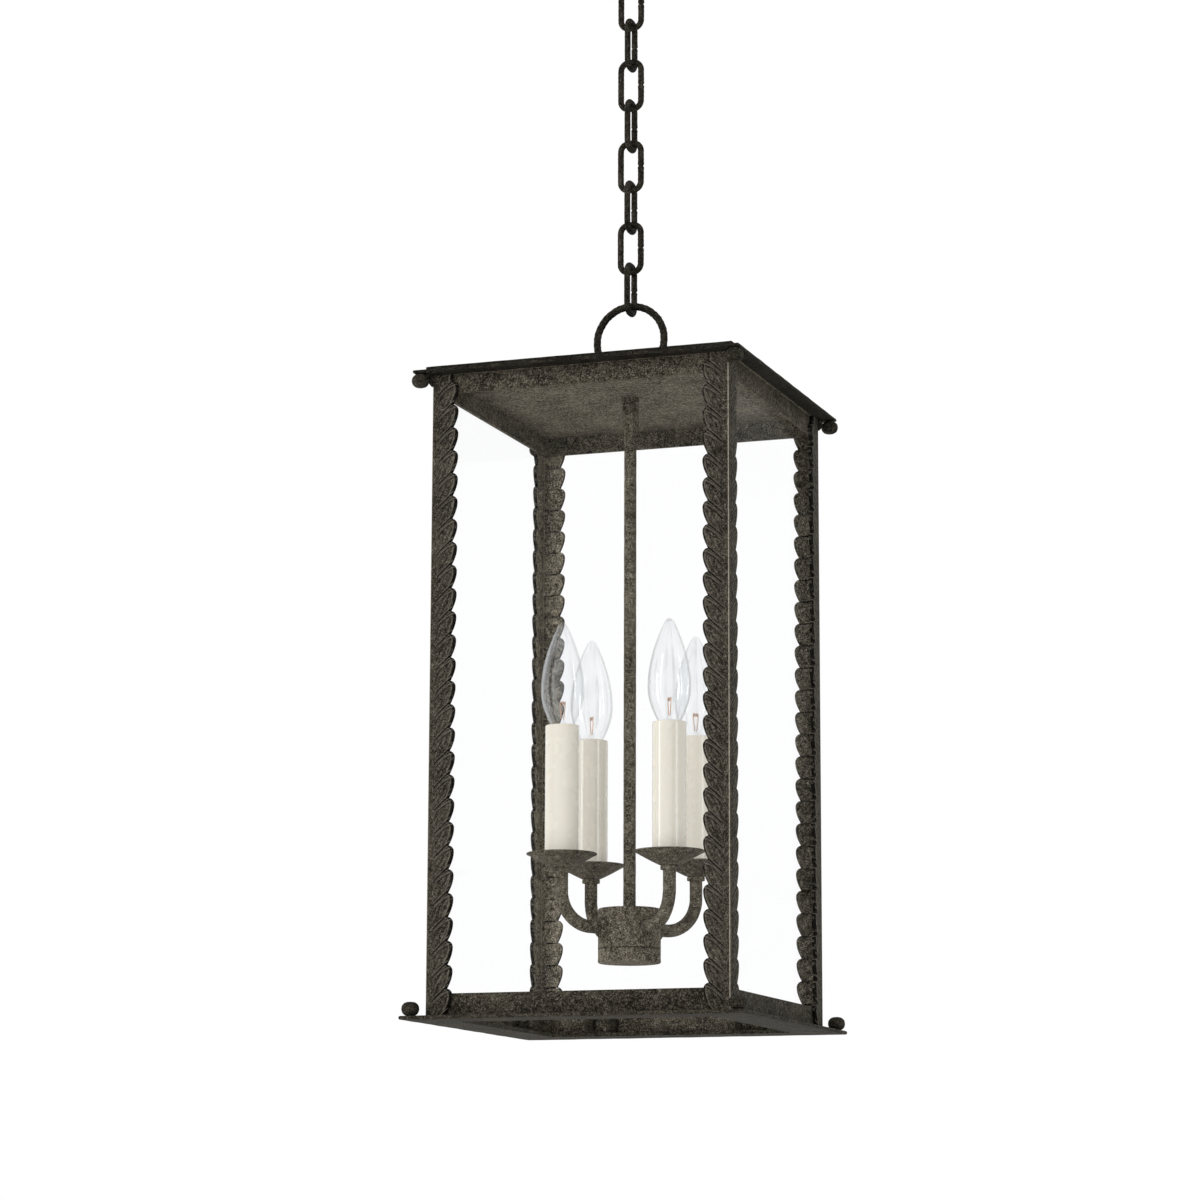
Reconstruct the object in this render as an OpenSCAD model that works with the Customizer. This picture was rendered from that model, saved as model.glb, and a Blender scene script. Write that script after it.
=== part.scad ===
// Hanging square lantern with leaf-edged corner posts, glass panes and a
// four-candle cluster, hung by a chain from a round ceiling canopy.
// Millimetres, +Z up. The origin is the centre of the ceiling canopy, in the
// plane of the ceiling, so the whole lantern hangs below z = 0.
// The wide front of the case faces -Y.

/* [Case] */
// Width across the outer faces of the corner posts
case_w = 247; // [200:1:320]
// Height from the top of the base plate to the underside of the roof
case_h = 508.4; // [420:0.1:640]
// Thickness of the corner post sheet
post_t = 3; // [2:0.5:5]
// Width of a post flange at its notches
post_notch_w = 16.5; // [12:0.5:22]
// How far a leaf tip reaches past the notches
leaf_reach = 4.9; // [2:0.1:8]
// Number of leaves on each post edge
leaf_count = 27; // [12:1:36]
// Height of the first leaf tip above the base plate
first_tip = 20; // [16:0.5:24]
// Height of the rails under the roof
top_rail_h = 15; // [8:0.5:30]
// Height of the rails on the base
bottom_rail_h = 17.8; // [8:0.1:30]
// Thickness of the rails
rail_t = 3; // [2:0.5:5]

/* [Roof and base] */
// Half width of the lower roof plate
roof_half = 136; // [126:0.5:160]
// Thickness of the lower roof plate
roof_t = 2.8; // [2:0.1:5]
// How far the upper roof plate is set in from the lower one
roof_step = 8; // [4:0.5:20]
// Thickness of the upper roof plate
roof_cap_t = 4; // [2:0.1:8]
// Half width of the base plate
base_half = 139.5; // [130:0.5:160]
// Thickness of the base plate
base_t = 3; // [2:0.1:5]
// Half width of the square opening in the base plate
base_open = 103; // [80:1:106]
// Diameter of a ball finial
ball_d = 14; // [10:0.5:20]
// Height of a ball finial
ball_h = 11; // [8:0.5:16]
// Offset of the balls under the roof from the centre
roof_ball_at = 131; // [130:0.5:134]
// Offset of the balls on the base from the centre
base_ball_at = 132.3; // [131:0.1:135]

/* [Glazing] */
// Thickness of a glass pane
pane_t = 3; // [2:0.5:5]
// Offset of each pane clip from the middle of its side
clip_at = 64; // [40:1:80]
// Height of a pane clip
clip_h = 15; // [10:0.5:20]

/* [Cluster] */
// Radius of the circle that the candles stand on
candle_circle = 62; // [50:0.5:75]
// Turn of the cluster on its stem, from the diagonals of the case
cluster_turn = 4.6; // [-45:0.1:45]
// Diameter of the stem
stem_d = 10; // [8:0.5:16]
// Diameter of the hub
hub_d = 50; // [40:1:60]
// Height of the underside of the hub above the base plate
hub_bottom = 47.5; // [30:0.5:90]
// Height of the hub
hub_h = 43.5; // [36:0.5:60]
// Height of the hub cap
hub_cap_h = 11.2; // [8:0.1:15]
// Height of the arms' axis above the base plate
arm_z = 75; // [70:0.5:78]
// Outer diameter of an arm
arm_d = 10.3; // [8:0.1:12]
// Radius of the bend of an arm
arm_bend = 27; // [16:0.5:30]
// Diameter of a drip pan
pan_d = 56; // [44:0.5:64]
// Height of the pan rims above the base plate
pan_rim = 131.8; // [128:0.1:140]
// Diameter of a candle sleeve
sleeve_d = 27; // [24:0.5:32]
// Height of the sleeve tops above the base plate
sleeve_top = 233.4; // [200:0.1:260]
// Largest diameter of a bulb
bulb_d = 34.4; // [28:0.1:38]
// Length of a bulb's glass, from the top of its metal base to its tip
bulb_len = 89.5; // [70:0.5:110]

/* [Chain and ring] */
// Number of chain links
link_count = 8; // [8:1:8]
// Distance from one link to the next
link_pitch = 35; // [28:0.5:50]
// Outer width of a link
link_w = 22.5; // [20:0.5:28]
// Diameter of the link wire
link_wire = 5; // [3:0.5:6]
// Clearance between a link and the next one
link_gap = 0.3; // [0.2:0.05:0.6]
// Outer diameter of the ring on the roof
ring_d = 64; // [50:1:80]
// Diameter of the ring's bar
ring_wire = 6; // [4:0.5:8]

/* [Ceiling fitting] */
// Diameter of the ceiling canopy
canopy_d = 125; // [110:1:150]
// Depth of the ceiling canopy
canopy_h = 25; // [20:1:40]
// Distance between the two mounting screws
screw_spacing = 88.9; // [70:0.1:96]
// Length of each mounting slot
slot_len = 14; // [8:0.5:18]
// Width of each mounting slot
slot_w = 4.6; // [4:0.1:6]

/* [Hidden] */
$fn = 48;

// Colours of the finishes
iron = [0.21, 0.20, 0.17];
iron_worn = [0.29, 0.27, 0.24];
ivory = [0.90, 0.88, 0.82];
clear_glass = [0.92, 0.95, 0.97, 0.3];
zinc = [0.70, 0.70, 0.68];
brass = [0.72, 0.58, 0.30];
black_plastic = [0.12, 0.12, 0.12];

// Widths worked out from the case
half = case_w / 2;
rail_half = half - post_t;
pane_half = rail_half - rail_t;
clip_half = pane_half - pane_t;
sides = [0, 90, 180, 270];

// Leaf edge of a post: rise from one leaf to the next, and where in it a leaf is widest
top_margin = 0.6;
leaf_pitch = (case_h - first_tip) / (leaf_count - top_margin);
leaf_peak = 0.8;
leaf_start = first_tip + 0.01;

// Roof tabs and ball finials
tab_len = 3.3;
tab_h = 9.5;
tab_t = 3;
ball_stud_r = 2;
ball_foot_r = 3;
ball_squareness = 0.7;

// Pane clips and their screws
clip_w = 25;
clip_leg_w = 5;
clip_bar_h = 3;
clip_t = 1.2;
clip_foot = 9.5;
clip_screw_r = 1.5;
clip_screw_at = clip_half - 6;

// Clearances between parts of one assembly
thread_gap = 0.1;
cut = 1;

// Ceiling fitting, from the ceiling down
strap_len = 105;
strap_w = 20;
strap_t = 2;
nipple_r = 5;
nipple_bore = 3.4;
nipple_end = 35.5;
nut_h = 4;
nut_flats = 16;
canopy_wall = 1.2;
canopy_edge = 9;
collar_nut_r = 13;
collar_nut_h = 6;
collar_nut_edges = [2.5, 2, 1.5];
loop_neck_r = 7.5;
loop_neck_h = 8;
loop_d = 30;
loop_wire = 5;
loop_corner = 10;
loop_sink = 3;
loop_z = -(canopy_h + collar_nut_h + loop_neck_h - loop_sink + loop_d / 2);

// Chain, from the canopy loop down
link_len = link_pitch + 2 * link_wire + link_gap;
link_corner = 7;
first_link_z = loop_z - loop_d / 2 + loop_wire + link_gap + link_wire - link_len / 2;
function link_z(i) = first_link_z - (i - 1) * link_pitch;
last_link_bottom = link_z(link_count) - link_len / 2;

// Ring and case, from the last link down
ring_z = last_link_bottom + link_wire + link_gap + ring_wire - ring_d / 2;
ring_boss_r = 9;
ring_boss_h = 12;
ring_boss_gap = 9.6;
ring_hole_spare = 0.5;
roof_top_z = ring_z - ring_d / 2 - ring_boss_gap;
base_z = roof_top_z - roof_cap_t - roof_t - case_h;

// Heights above the base plate
roof_under = case_h;
cap_under = roof_under + roof_t;
roof_top = cap_under + roof_cap_t;

// Stem and hub
stem_bore = 3.6;
stem_thread = 8;
stem_top = roof_top + stem_thread;
collar_d = 14;
collar_len = 25.9;
hub_wall = 2.2;
hub_top = hub_bottom + hub_h;
hub_seam = hub_bottom + hub_cap_h;
hub_deck = 3;
stem_bottom = hub_top - hub_deck - nut_h - 1;
arm_bore = 3.6;
arm_inner_end = 20;
arm_run = candle_circle - arm_bend;
arm_top = 121.5;
arm_collar_d = 16;
arm_collar_t = 3.4;

// Drip pans, sleeves, sockets and bulbs
pan_neck_r = 7.25;
pan_neck_z = 116.5;
pan_neck_h = 3;
pan_seat = 129.5;
pan_edge = 1.2;
pan_lip = 1;
pan_floor_inset = 8;
pan_floor_drop = 5.2;
pan_flare = [3, 1];
sleeve_wall = 1.2;
socket_r = 10.5;
socket_drop = 5.9;
socket_bottom = 186;
socket_top = sleeve_top - socket_drop;
socket_bore = 6.3;
bulb_base_r = 5.9;
bulb_base_h = 22;
bulb_wall = 0.8;
bulb_belly = 33.6;
bulb_nose = 3.4;
bulb_fullness = 0.84;
bulb_point = bulb_len + 2;
candle_angles = [for (i = [0:3]) 225 + 90 * i + cluster_turn];

// Cluster positions are counted from the front left, turning to the right
module at_candle(i) {
    translate([0, 0, base_z]) rotate([0, 0, candle_angles[i - 1]]) translate([candle_circle, 0, 0]) children();
}

// Lifts children that are drawn above the base plate to their real height
module in_case() {
    translate([0, 0, base_z]) children();
}

// One child at each of the four corners, offset along both axes
module at_corners(offset) {
    for (sx = [-1, 1], sy = [-1, 1]) translate([sx * offset, sy * offset, 0]) children();
}

// Square tube section, with its lower face at z = 0
module square_ring(outer_half, inner_half, height) {
    linear_extrude(height) difference() {
        square(2 * outer_half, center = true);
        square(2 * inner_half, center = true);
    }
}

// Round washer or tube, with its lower face at z = 0
module tube(outer_r, inner_r, height) {
    difference() {
        cylinder(r = outer_r, h = height);
        translate([0, 0, -cut]) cylinder(r = inner_r, h = height + 2 * cut);
    }
}

// Hexagon nut, with its lower face at z = 0
module hex_nut(flats, hole_r, height) {
    difference() {
        cylinder(d = flats / cos(30), h = height, $fn = 6);
        translate([0, 0, -cut]) cylinder(r = hole_r, h = height + 2 * cut);
    }
}

// Ring of round bar in the XZ plane, centred on the origin
module bar_ring(outer_d, wire) {
    rotate([90, 0, 0]) rotate_extrude() translate([outer_d / 2 - wire / 2, 0]) circle(d = wire);
}

// Quarter bend of round wire, turning from +X to +Z about the origin
module wire_corner(bend_r, wire) {
    rotate([90, 0, 0]) rotate_extrude(angle = 90) translate([bend_r, 0]) circle(d = wire);
}

// Welded link of round bar in the XZ plane, centred on the origin, with round corners
module bar_link(width, length, wire, corner) {
    side_x = width / 2 - wire / 2;
    end_z = length / 2 - wire / 2;
    for (s = [-1, 1]) {
        translate([s * side_x, 0, -(end_z - corner)]) cylinder(d = wire, h = 2 * (end_z - corner));
        translate([-(side_x - corner), 0, s * end_z]) rotate([0, 90, 0]) cylinder(d = wire, h = 2 * (side_x - corner));
    }
    for (turn = [0, 180], flip = [0, 1]) rotate([0, turn, 0]) mirror([0, 0, flip])
        translate([side_x - corner, 0, end_z - corner]) mirror([0, 1, 0]) wire_corner(corner, wire);
}

// Parts of the ceiling fitting
module mounting_strap() {
    color(zinc) translate([0, 0, -strap_t]) difference() {
        linear_extrude(strap_t) square([strap_len, strap_w], center = true);
        translate([0, 0, -cut]) cylinder(r = nipple_r + thread_gap, h = strap_t + 2 * cut);
        for (s = [-1, 1]) translate([s * screw_spacing / 2, 0, -cut]) linear_extrude(strap_t + 2 * cut) {
            square([slot_len - slot_w, slot_w], center = true);
            for (e = [-1, 1]) translate([e * (slot_len - slot_w) / 2, 0]) circle(d = slot_w);
        }
    }
}

module ceiling_nipple() {
    color(zinc) translate([0, 0, -nipple_end]) tube(nipple_r, nipple_bore, nipple_end);
}

module nipple_locknut() {
    color(zinc) translate([0, 0, -strap_t - nut_h]) hex_nut(nut_flats, nipple_r + thread_gap, nut_h);
}

// Shallow bowl with a rounded edge, its rim against the ceiling
module bowl_outline(radius, depth, edge) {
    polygon(concat(
        [[0, 0], [radius, 0]],
        [for (a = [0:15:90]) [radius - edge + edge * cos(a), -depth + edge - edge * sin(a)]],
        [[0, -depth]]
    ));
}

module canopy() {
    color(iron) difference() {
        rotate_extrude() bowl_outline(canopy_d / 2, canopy_h, canopy_edge);
        rotate_extrude() translate([0, cut]) bowl_outline(
            canopy_d / 2 - canopy_wall, canopy_h - canopy_wall + cut, canopy_edge - canopy_wall);
        translate([0, 0, -canopy_h - cut]) cylinder(r = nipple_r + thread_gap, h = canopy_h);
    }
}

module canopy_nut() {
    color(iron) translate([0, 0, -canopy_h - collar_nut_h]) rotate_extrude() polygon([
        [nipple_r + thread_gap, 0],
        [collar_nut_r - collar_nut_edges[0], 0], [collar_nut_r, collar_nut_edges[1]],
        [collar_nut_r, collar_nut_h - collar_nut_edges[2]], [collar_nut_r - collar_nut_edges[2], collar_nut_h],
        [nipple_r + thread_gap, collar_nut_h]
    ]);
}

module canopy_loop() {
    neck_top = -canopy_h - collar_nut_h;
    color(iron) difference() {
        union() {
            translate([0, 0, neck_top - loop_neck_h]) cylinder(r = loop_neck_r, h = loop_neck_h);
            translate([0, 0, loop_z]) rotate([0, 0, 90]) bar_link(loop_d, loop_d, loop_wire, loop_corner);
        }
        translate([0, 0, -nipple_end]) cylinder(r = nipple_r + thread_gap, h = nipple_end);
    }
}

// Odd links lie in the XZ plane and even links across it
module chain_link(i) {
    color(iron) translate([0, 0, link_z(i)]) rotate([0, 0, i % 2 == 0 ? 90 : 0])
        bar_link(link_w, link_len, link_wire, link_corner);
}

// Ring welded to a boss that the stem screws into from below
module roof_ring() {
    color(iron) difference() {
        union() {
            translate([0, 0, ring_z]) bar_ring(ring_d, ring_wire);
            translate([0, 0, roof_top_z]) cylinder(r = ring_boss_r, h = ring_boss_h);
        }
        translate([0, 0, roof_top_z - cut]) cylinder(r = stem_d / 2 + thread_gap, h = stem_top - roof_top + cut + ring_hole_spare);
    }
}

// Square plate with a hole for the stem
module roof_sheet(plate_half, height) {
    difference() {
        linear_extrude(height) square(2 * plate_half, center = true);
        translate([0, 0, -cut]) cylinder(r = stem_d / 2 + thread_gap, h = height + 2 * cut);
    }
}

module roof_cap() {
    color(iron) in_case() translate([0, 0, cap_under]) roof_sheet(roof_half - roof_step, roof_cap_t);
}

module roof_plate() {
    color(iron_worn) in_case() translate([0, 0, roof_under]) difference() {
        roof_sheet(roof_half, roof_t);
        at_corners(roof_ball_at) translate([0, 0, -cut]) cylinder(r = ball_stud_r + thread_gap, h = roof_t + 2 * cut);
    }
}

// Small stiffening tab on each roof corner, outside the post
module roof_tabs() {
    color(iron) in_case() for (turn = sides) rotate([0, 0, turn + 45])
        translate([half * sqrt(2), tab_t / 2, roof_under - tab_h]) rotate([90, 0, 0]) linear_extrude(tab_t)
            polygon([[0, 0], [tab_len, tab_len], [tab_len, tab_h], [0, tab_h]]);
}

// Bun-shaped ball standing on z = 0, with its stud below
module ball_finial(stud_len) {
    rotate_extrude() polygon(concat(
        [[0, 0], [ball_foot_r, 0]],
        [for (a = [-60:15:75]) [ball_d / 2 * pow(cos(a), ball_squareness), ball_h / 2 * (1 + sin(a))]],
        [[0, ball_h]]
    ));
    translate([0, 0, -stud_len]) cylinder(r = ball_stud_r, h = stud_len + cut);
}

module roof_balls() {
    color(iron) in_case() translate([0, 0, roof_under]) mirror([0, 0, 1])
        at_corners(roof_ball_at) ball_finial(roof_t);
}

module base_balls() {
    color(iron) in_case() at_corners(base_ball_at) ball_finial(base_t);
}

module top_frame() {
    color(iron) in_case() translate([0, 0, roof_under - top_rail_h])
        square_ring(rail_half, rail_half - rail_t, top_rail_h);
}

module bottom_frame() {
    color(iron) in_case() square_ring(rail_half, rail_half - rail_t, bottom_rail_h);
}

// One leaf edge, as [reach, height] pairs from its lower notch to its upper
// one: a long cosine sweep up to the widest point, then a round tip
function leaf_edge(notch_z) = concat(
    [for (a = [-90:22.5:0]) [post_notch_w + leaf_reach * cos(a), notch_z + leaf_pitch * leaf_peak * (1 + a / 90)]],
    [for (a = [30:30:60]) [
        post_notch_w + leaf_reach * cos(a),
        notch_z + leaf_pitch * (leaf_peak + (1 - leaf_peak) * sin(a))
    ]]
);

// Flat flange with the leaf edge on its +X side
module leaf_flange() {
    rotate([90, 0, 0]) translate([0, 0, -post_t]) linear_extrude(post_t) polygon(concat(
        [[0, case_h], [0, 0], [post_notch_w, 0]],
        [for (i = [0:leaf_count - 1]) each leaf_edge(leaf_start + (i - 1) * leaf_pitch)],
        [[post_notch_w, leaf_start + (leaf_count - 1) * leaf_pitch], [post_notch_w, case_h]]
    ));
}

// Angle post whose outer corner is the Z axis and whose flanges run to +X and +Y
module corner_post(turn) {
    color(iron) in_case() rotate([0, 0, turn]) translate([-half, -half, 0]) {
        leaf_flange();
        mirror([1, -1, 0]) leaf_flange();
    }
}

// Glass pane on one side, standing on the base plate inside the rails
module pane(turn) {
    gap_above = 1;
    color(clear_glass) in_case() rotate([0, 0, turn]) translate([-clip_half, -pane_half, 0])
        cube([2 * clip_half, pane_t, case_h - gap_above]);
}

module base_plate() {
    color(iron) in_case() translate([0, 0, -base_t]) difference() {
        square_ring(base_half, base_open, base_t);
        at_corners(base_ball_at) translate([0, 0, -cut]) cylinder(r = ball_stud_r + thread_gap, h = base_t + 2 * cut);
        for (turn = sides, s = [-1, 1]) rotate([0, 0, turn]) translate([s * clip_at, -clip_screw_at, -cut])
            cylinder(r = clip_screw_r + thread_gap, h = base_t + 2 * cut);
    }
}

// Bent strip clips that hold the panes' lower edges against the rails
module pane_clip() {
    translate([0, -clip_half, 0]) {
        difference() {
            translate([-clip_w / 2, 0, 0]) cube([clip_w, clip_foot, clip_t]);
            translate([0, clip_half - clip_screw_at, -cut])
                cylinder(r = clip_screw_r + thread_gap, h = clip_t + 2 * cut);
        }
        difference() {
            translate([-clip_w / 2, 0, 0]) cube([clip_w, clip_t, clip_h]);
            translate([-clip_w / 2 + clip_leg_w, -cut, clip_t])
                cube([clip_w - 2 * clip_leg_w, clip_t + 2 * cut, clip_h - clip_t - clip_bar_h]);
        }
    }
}

module pane_clips() {
    color(iron_worn) in_case() for (turn = sides, s = [-1, 1]) rotate([0, 0, turn])
        translate([s * clip_at, 0, 0]) pane_clip();
}

module clip_screws() {
    head_r = 3;
    head_h = 1.8;
    color(iron) in_case() for (turn = sides, s = [-1, 1]) rotate([0, 0, turn])
        translate([s * clip_at, -clip_screw_at, 0]) {
            translate([0, 0, -base_t]) cylinder(r = clip_screw_r, h = base_t + clip_t + cut / 2);
            translate([0, 0, clip_t]) cylinder(r = head_r, h = head_h);
        }
}

// Stem, hub and arms of the candle cluster
module stem() {
    color(iron) in_case() translate([0, 0, stem_bottom]) tube(stem_d / 2, stem_bore, stem_top - stem_bottom);
}

module stem_collar() {
    color(iron) in_case() translate([0, 0, roof_under - collar_len])
        tube(collar_d / 2, stem_d / 2 + thread_gap, collar_len);
}

// One child along each arm, with the arm's axis on +X at its real height
module at_arms() {
    in_case() for (angle = candle_angles) rotate([0, 0, angle]) translate([0, 0, arm_z]) children();
}

module hub_body() {
    boss_r = 7.5;
    boss_h = 1.5;
    color(iron) difference() {
        in_case() difference() {
            union() {
                translate([0, 0, hub_seam]) cylinder(d = hub_d, h = hub_top - hub_seam);
                translate([0, 0, hub_top]) cylinder(r = boss_r, h = boss_h);
            }
            translate([0, 0, hub_seam - cut])
                cylinder(r = hub_d / 2 - hub_wall, h = hub_top - hub_deck - hub_seam + cut);
            translate([0, 0, hub_seam]) cylinder(r = stem_d / 2 + thread_gap, h = hub_h);
        }
        at_arms() rotate([0, 90, 0]) cylinder(r = arm_d / 2 + thread_gap, h = hub_d);
    }
}

module hub_nut() {
    color(zinc) in_case() translate([0, 0, hub_top - hub_deck - nut_h])
        hex_nut(nut_flats, stem_d / 2 + thread_gap, nut_h);
}

// Cap that closes the hub from below, with a spigot inside the hub wall
module hub_cap() {
    floor_t = 2.5;
    spigot_h = 3.5;
    spigot_gap = 0.2;
    color(iron) in_case() rotate_extrude() polygon([
        [0, hub_bottom], [hub_d / 2, hub_bottom], [hub_d / 2, hub_seam],
        [hub_d / 2 - hub_wall - spigot_gap, hub_seam], [hub_d / 2 - hub_wall - spigot_gap, hub_seam + spigot_h],
        [hub_d / 2 - 2 * hub_wall, hub_seam + spigot_h], [hub_d / 2 - 2 * hub_wall, hub_bottom + floor_t],
        [0, hub_bottom + floor_t]
    ]);
}

// Tube that runs out of the hub and bends upwards, hollow for its lead
module arm_path(outer_r, start_x, end_z) {
    translate([start_x, 0, arm_z]) rotate([0, 90, 0]) cylinder(r = outer_r, h = arm_run - start_x);
    translate([arm_run, 0, arm_z + arm_bend]) rotate([90, 0, 0]) rotate([0, 0, -90])
        rotate_extrude(angle = 90) translate([arm_bend, 0]) circle(r = outer_r);
    translate([candle_circle, 0, arm_z + arm_bend]) cylinder(r = outer_r, h = end_z - arm_z - arm_bend);
}

module arm(i) {
    color(iron) in_case() rotate([0, 0, candle_angles[i - 1]]) difference() {
        arm_path(arm_d / 2, arm_inner_end, arm_top);
        arm_path(arm_bore, arm_inner_end - cut, arm_top + cut);
    }
}

// Rounded collars round the arms, shaped to the hub's wall
module arm_collars() {
    seat_gap = 0.02;
    edge = 1.2;
    color(iron) difference() {
        at_arms() translate([hub_d / 2 - arm_collar_t, 0, 0]) rotate([0, 90, 0]) rotate_extrude() polygon([
            [arm_d / 2 + thread_gap, 0], [arm_collar_d / 2, 0], [arm_collar_d / 2, 2 * arm_collar_t - edge],
            [arm_collar_d / 2 - edge, 2 * arm_collar_t], [arm_d / 2 + thread_gap, 2 * arm_collar_t]
        ]);
        in_case() cylinder(r = hub_d / 2 + seat_gap, h = roof_under);
    }
}

// Shallow dish with a neck, on the top of an arm
module drip_pan(i) {
    rim_r = pan_d / 2;
    hole_r = arm_d / 2 + thread_gap;
    color(iron) at_candle(i) rotate_extrude() polygon([
        [hole_r, pan_neck_z], [pan_neck_r, pan_neck_z], [pan_neck_r, pan_neck_z + pan_neck_h],
        [pan_neck_r + pan_flare[0], pan_neck_z + pan_neck_h + pan_flare[1]],
        [rim_r - pan_floor_inset, pan_rim - pan_floor_drop], [rim_r - pan_lip, pan_rim - pan_edge],
        [rim_r, pan_rim - pan_edge / 2], [rim_r - pan_lip, pan_rim],
        [rim_r - pan_floor_inset, pan_seat], [hole_r, pan_seat]
    ]);
}

module candle_sleeve(i) {
    color(ivory) at_candle(i) translate([0, 0, pan_seat])
        tube(sleeve_d / 2, sleeve_d / 2 - sleeve_wall, sleeve_top - pan_seat);
}

// Lamp holders, each on a hollow post that stands on its arm
module sockets() {
    post_r = 5;
    post_bore = 3.2;
    base_floor = 3;
    color(black_plastic) for (i = [1:4]) at_candle(i) difference() {
        union() {
            translate([0, 0, arm_top]) cylinder(r = post_r, h = socket_bottom - arm_top + cut);
            translate([0, 0, socket_bottom]) cylinder(r = socket_r, h = socket_top - socket_bottom);
        }
        translate([0, 0, arm_top - cut]) cylinder(r = post_bore, h = socket_bottom - arm_top + cut);
        translate([0, 0, socket_top - bulb_base_h - 1]) cylinder(r = socket_bore, h = bulb_base_h + base_floor);
    }
}

// Radius of the bulb at height z above its metal base: a sine up to the belly, a
// power of a cosine up to the point, and an ellipse over the rounded nose
function bulb_nose_share(z) = sqrt(1 - pow(max(0, (z - bulb_len + bulb_nose) / bulb_nose), 2));
function bulb_radius(z) = z < bulb_belly
    ? bulb_base_r + (bulb_d / 2 - bulb_base_r) * sin(90 * z / bulb_belly)
    : bulb_d / 2 * pow(cos(90 * (z - bulb_belly) / (bulb_point - bulb_belly)), bulb_fullness) * bulb_nose_share(z);

// Outline of the glass from the base to near the tip, moved in by an inset
function bulb_outline(inset) = [
    for (k = [0:22]) let (z = bulb_len * (1 - pow(1 - k / 23, 1.6)))
        [max(0.5, bulb_radius(z) - inset), min(z, bulb_len - 2 * inset)]
];

module bulb_glass(i) {
    outer = bulb_outline(0);
    inner = bulb_outline(bulb_wall);
    color(clear_glass) at_candle(i) translate([0, 0, socket_top]) rotate_extrude() difference() {
        polygon(concat([[0, 0]], outer, [[0, bulb_len]]));
        polygon(concat([[0, -cut], [bulb_base_r - bulb_wall, -cut]], inner, [[0, bulb_len - 2 * bulb_wall]]));
    }
}

// Screw shells of the bulbs, with a contact tip
module bulb_bases() {
    tip_r = 3;
    tip_h = 1;
    color(brass) for (i = [1:4]) at_candle(i) translate([0, 0, socket_top - bulb_base_h]) {
        cylinder(r = bulb_base_r, h = bulb_base_h);
        translate([0, 0, -tip_h]) cylinder(r = tip_r, h = tip_h + cut);
    }
}

// Glass mount with two leads and a coil between them, inside each bulb
module bulb_filaments() {
    mount_r = 2.4;
    mount_h = 13;
    lead_r = 0.35;
    lead_h = 26;
    coil_half = 4;
    coil_r = 0.6;
    lead_at = 1.5;
    lead_lean = 10;
    color(zinc) for (i = [1:4]) at_candle(i) translate([0, 0, socket_top]) {
        cylinder(r = mount_r, h = mount_h);
        for (s = [-1, 1]) translate([s * lead_at, 0, mount_h - cut]) rotate([0, s * lead_lean, 0])
            cylinder(r = lead_r, h = lead_h - mount_h + cut);
        translate([-coil_half, 0, lead_h - coil_r]) rotate([0, 90, 0]) cylinder(r = coil_r, h = 2 * coil_half);
    }
}

// Feed pair inside the stem, and one lead through each arm to its socket
module wiring() {
    core_r = 1.1;
    core_at = 1.3;
    lead_r = 1.6;
    lead_start = 7;
    feed_bottom = hub_seam + 6;
    feed_top = stem_top - 2;
    color(black_plastic) {
        in_case() for (s = [-1, 1]) translate([s * core_at, 0, feed_bottom]) cylinder(r = core_r, h = feed_top - feed_bottom);
        in_case() for (angle = candle_angles) rotate([0, 0, angle])
            arm_path(lead_r, lead_start, socket_bottom - cut);
    }
}

mounting_strap();
ceiling_nipple();
nipple_locknut();
canopy();
canopy_nut();
canopy_loop();
chain_link(1);  // chain_link_1
chain_link(2);  // chain_link_2
chain_link(3);  // chain_link_3
chain_link(4);  // chain_link_4
chain_link(5);  // chain_link_5
chain_link(6);  // chain_link_6
chain_link(7);  // chain_link_7
chain_link(8);  // chain_link_8
roof_ring();
roof_cap();
roof_plate();
roof_tabs();
roof_balls();
top_frame();
corner_post(0);  // corner_post_fl
corner_post(90);  // corner_post_fr
corner_post(180);  // corner_post_br
corner_post(270);  // corner_post_bl
pane(0);  // pane_front
pane(90);  // pane_right
pane(180);  // pane_back
pane(270);  // pane_left
bottom_frame();
base_plate();
base_balls();
pane_clips();
clip_screws();
stem();
stem_collar();
hub_body();
hub_nut();
hub_cap();
arm(1);  // arm_1
arm(2);  // arm_2
arm(3);  // arm_3
arm(4);  // arm_4
arm_collars();
drip_pan(1);  // drip_pan_1
drip_pan(2);  // drip_pan_2
drip_pan(3);  // drip_pan_3
drip_pan(4);  // drip_pan_4
candle_sleeve(1);  // candle_sleeve_1
candle_sleeve(2);  // candle_sleeve_2
candle_sleeve(3);  // candle_sleeve_3
candle_sleeve(4);  // candle_sleeve_4
sockets();
bulb_glass(1);  // bulb_glass_1
bulb_glass(2);  // bulb_glass_2
bulb_glass(3);  // bulb_glass_3
bulb_glass(4);  // bulb_glass_4
bulb_bases();
bulb_filaments();
wiring();
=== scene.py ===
"""Hanging lantern: the detailed surfaces and finishes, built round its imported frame.

Lengths are in metres. The frame gives every position; the sizes that a user
would change stand in the property groups below.
"""
import math

import bpy
import numpy as np
from mathutils import Matrix, Vector


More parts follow.
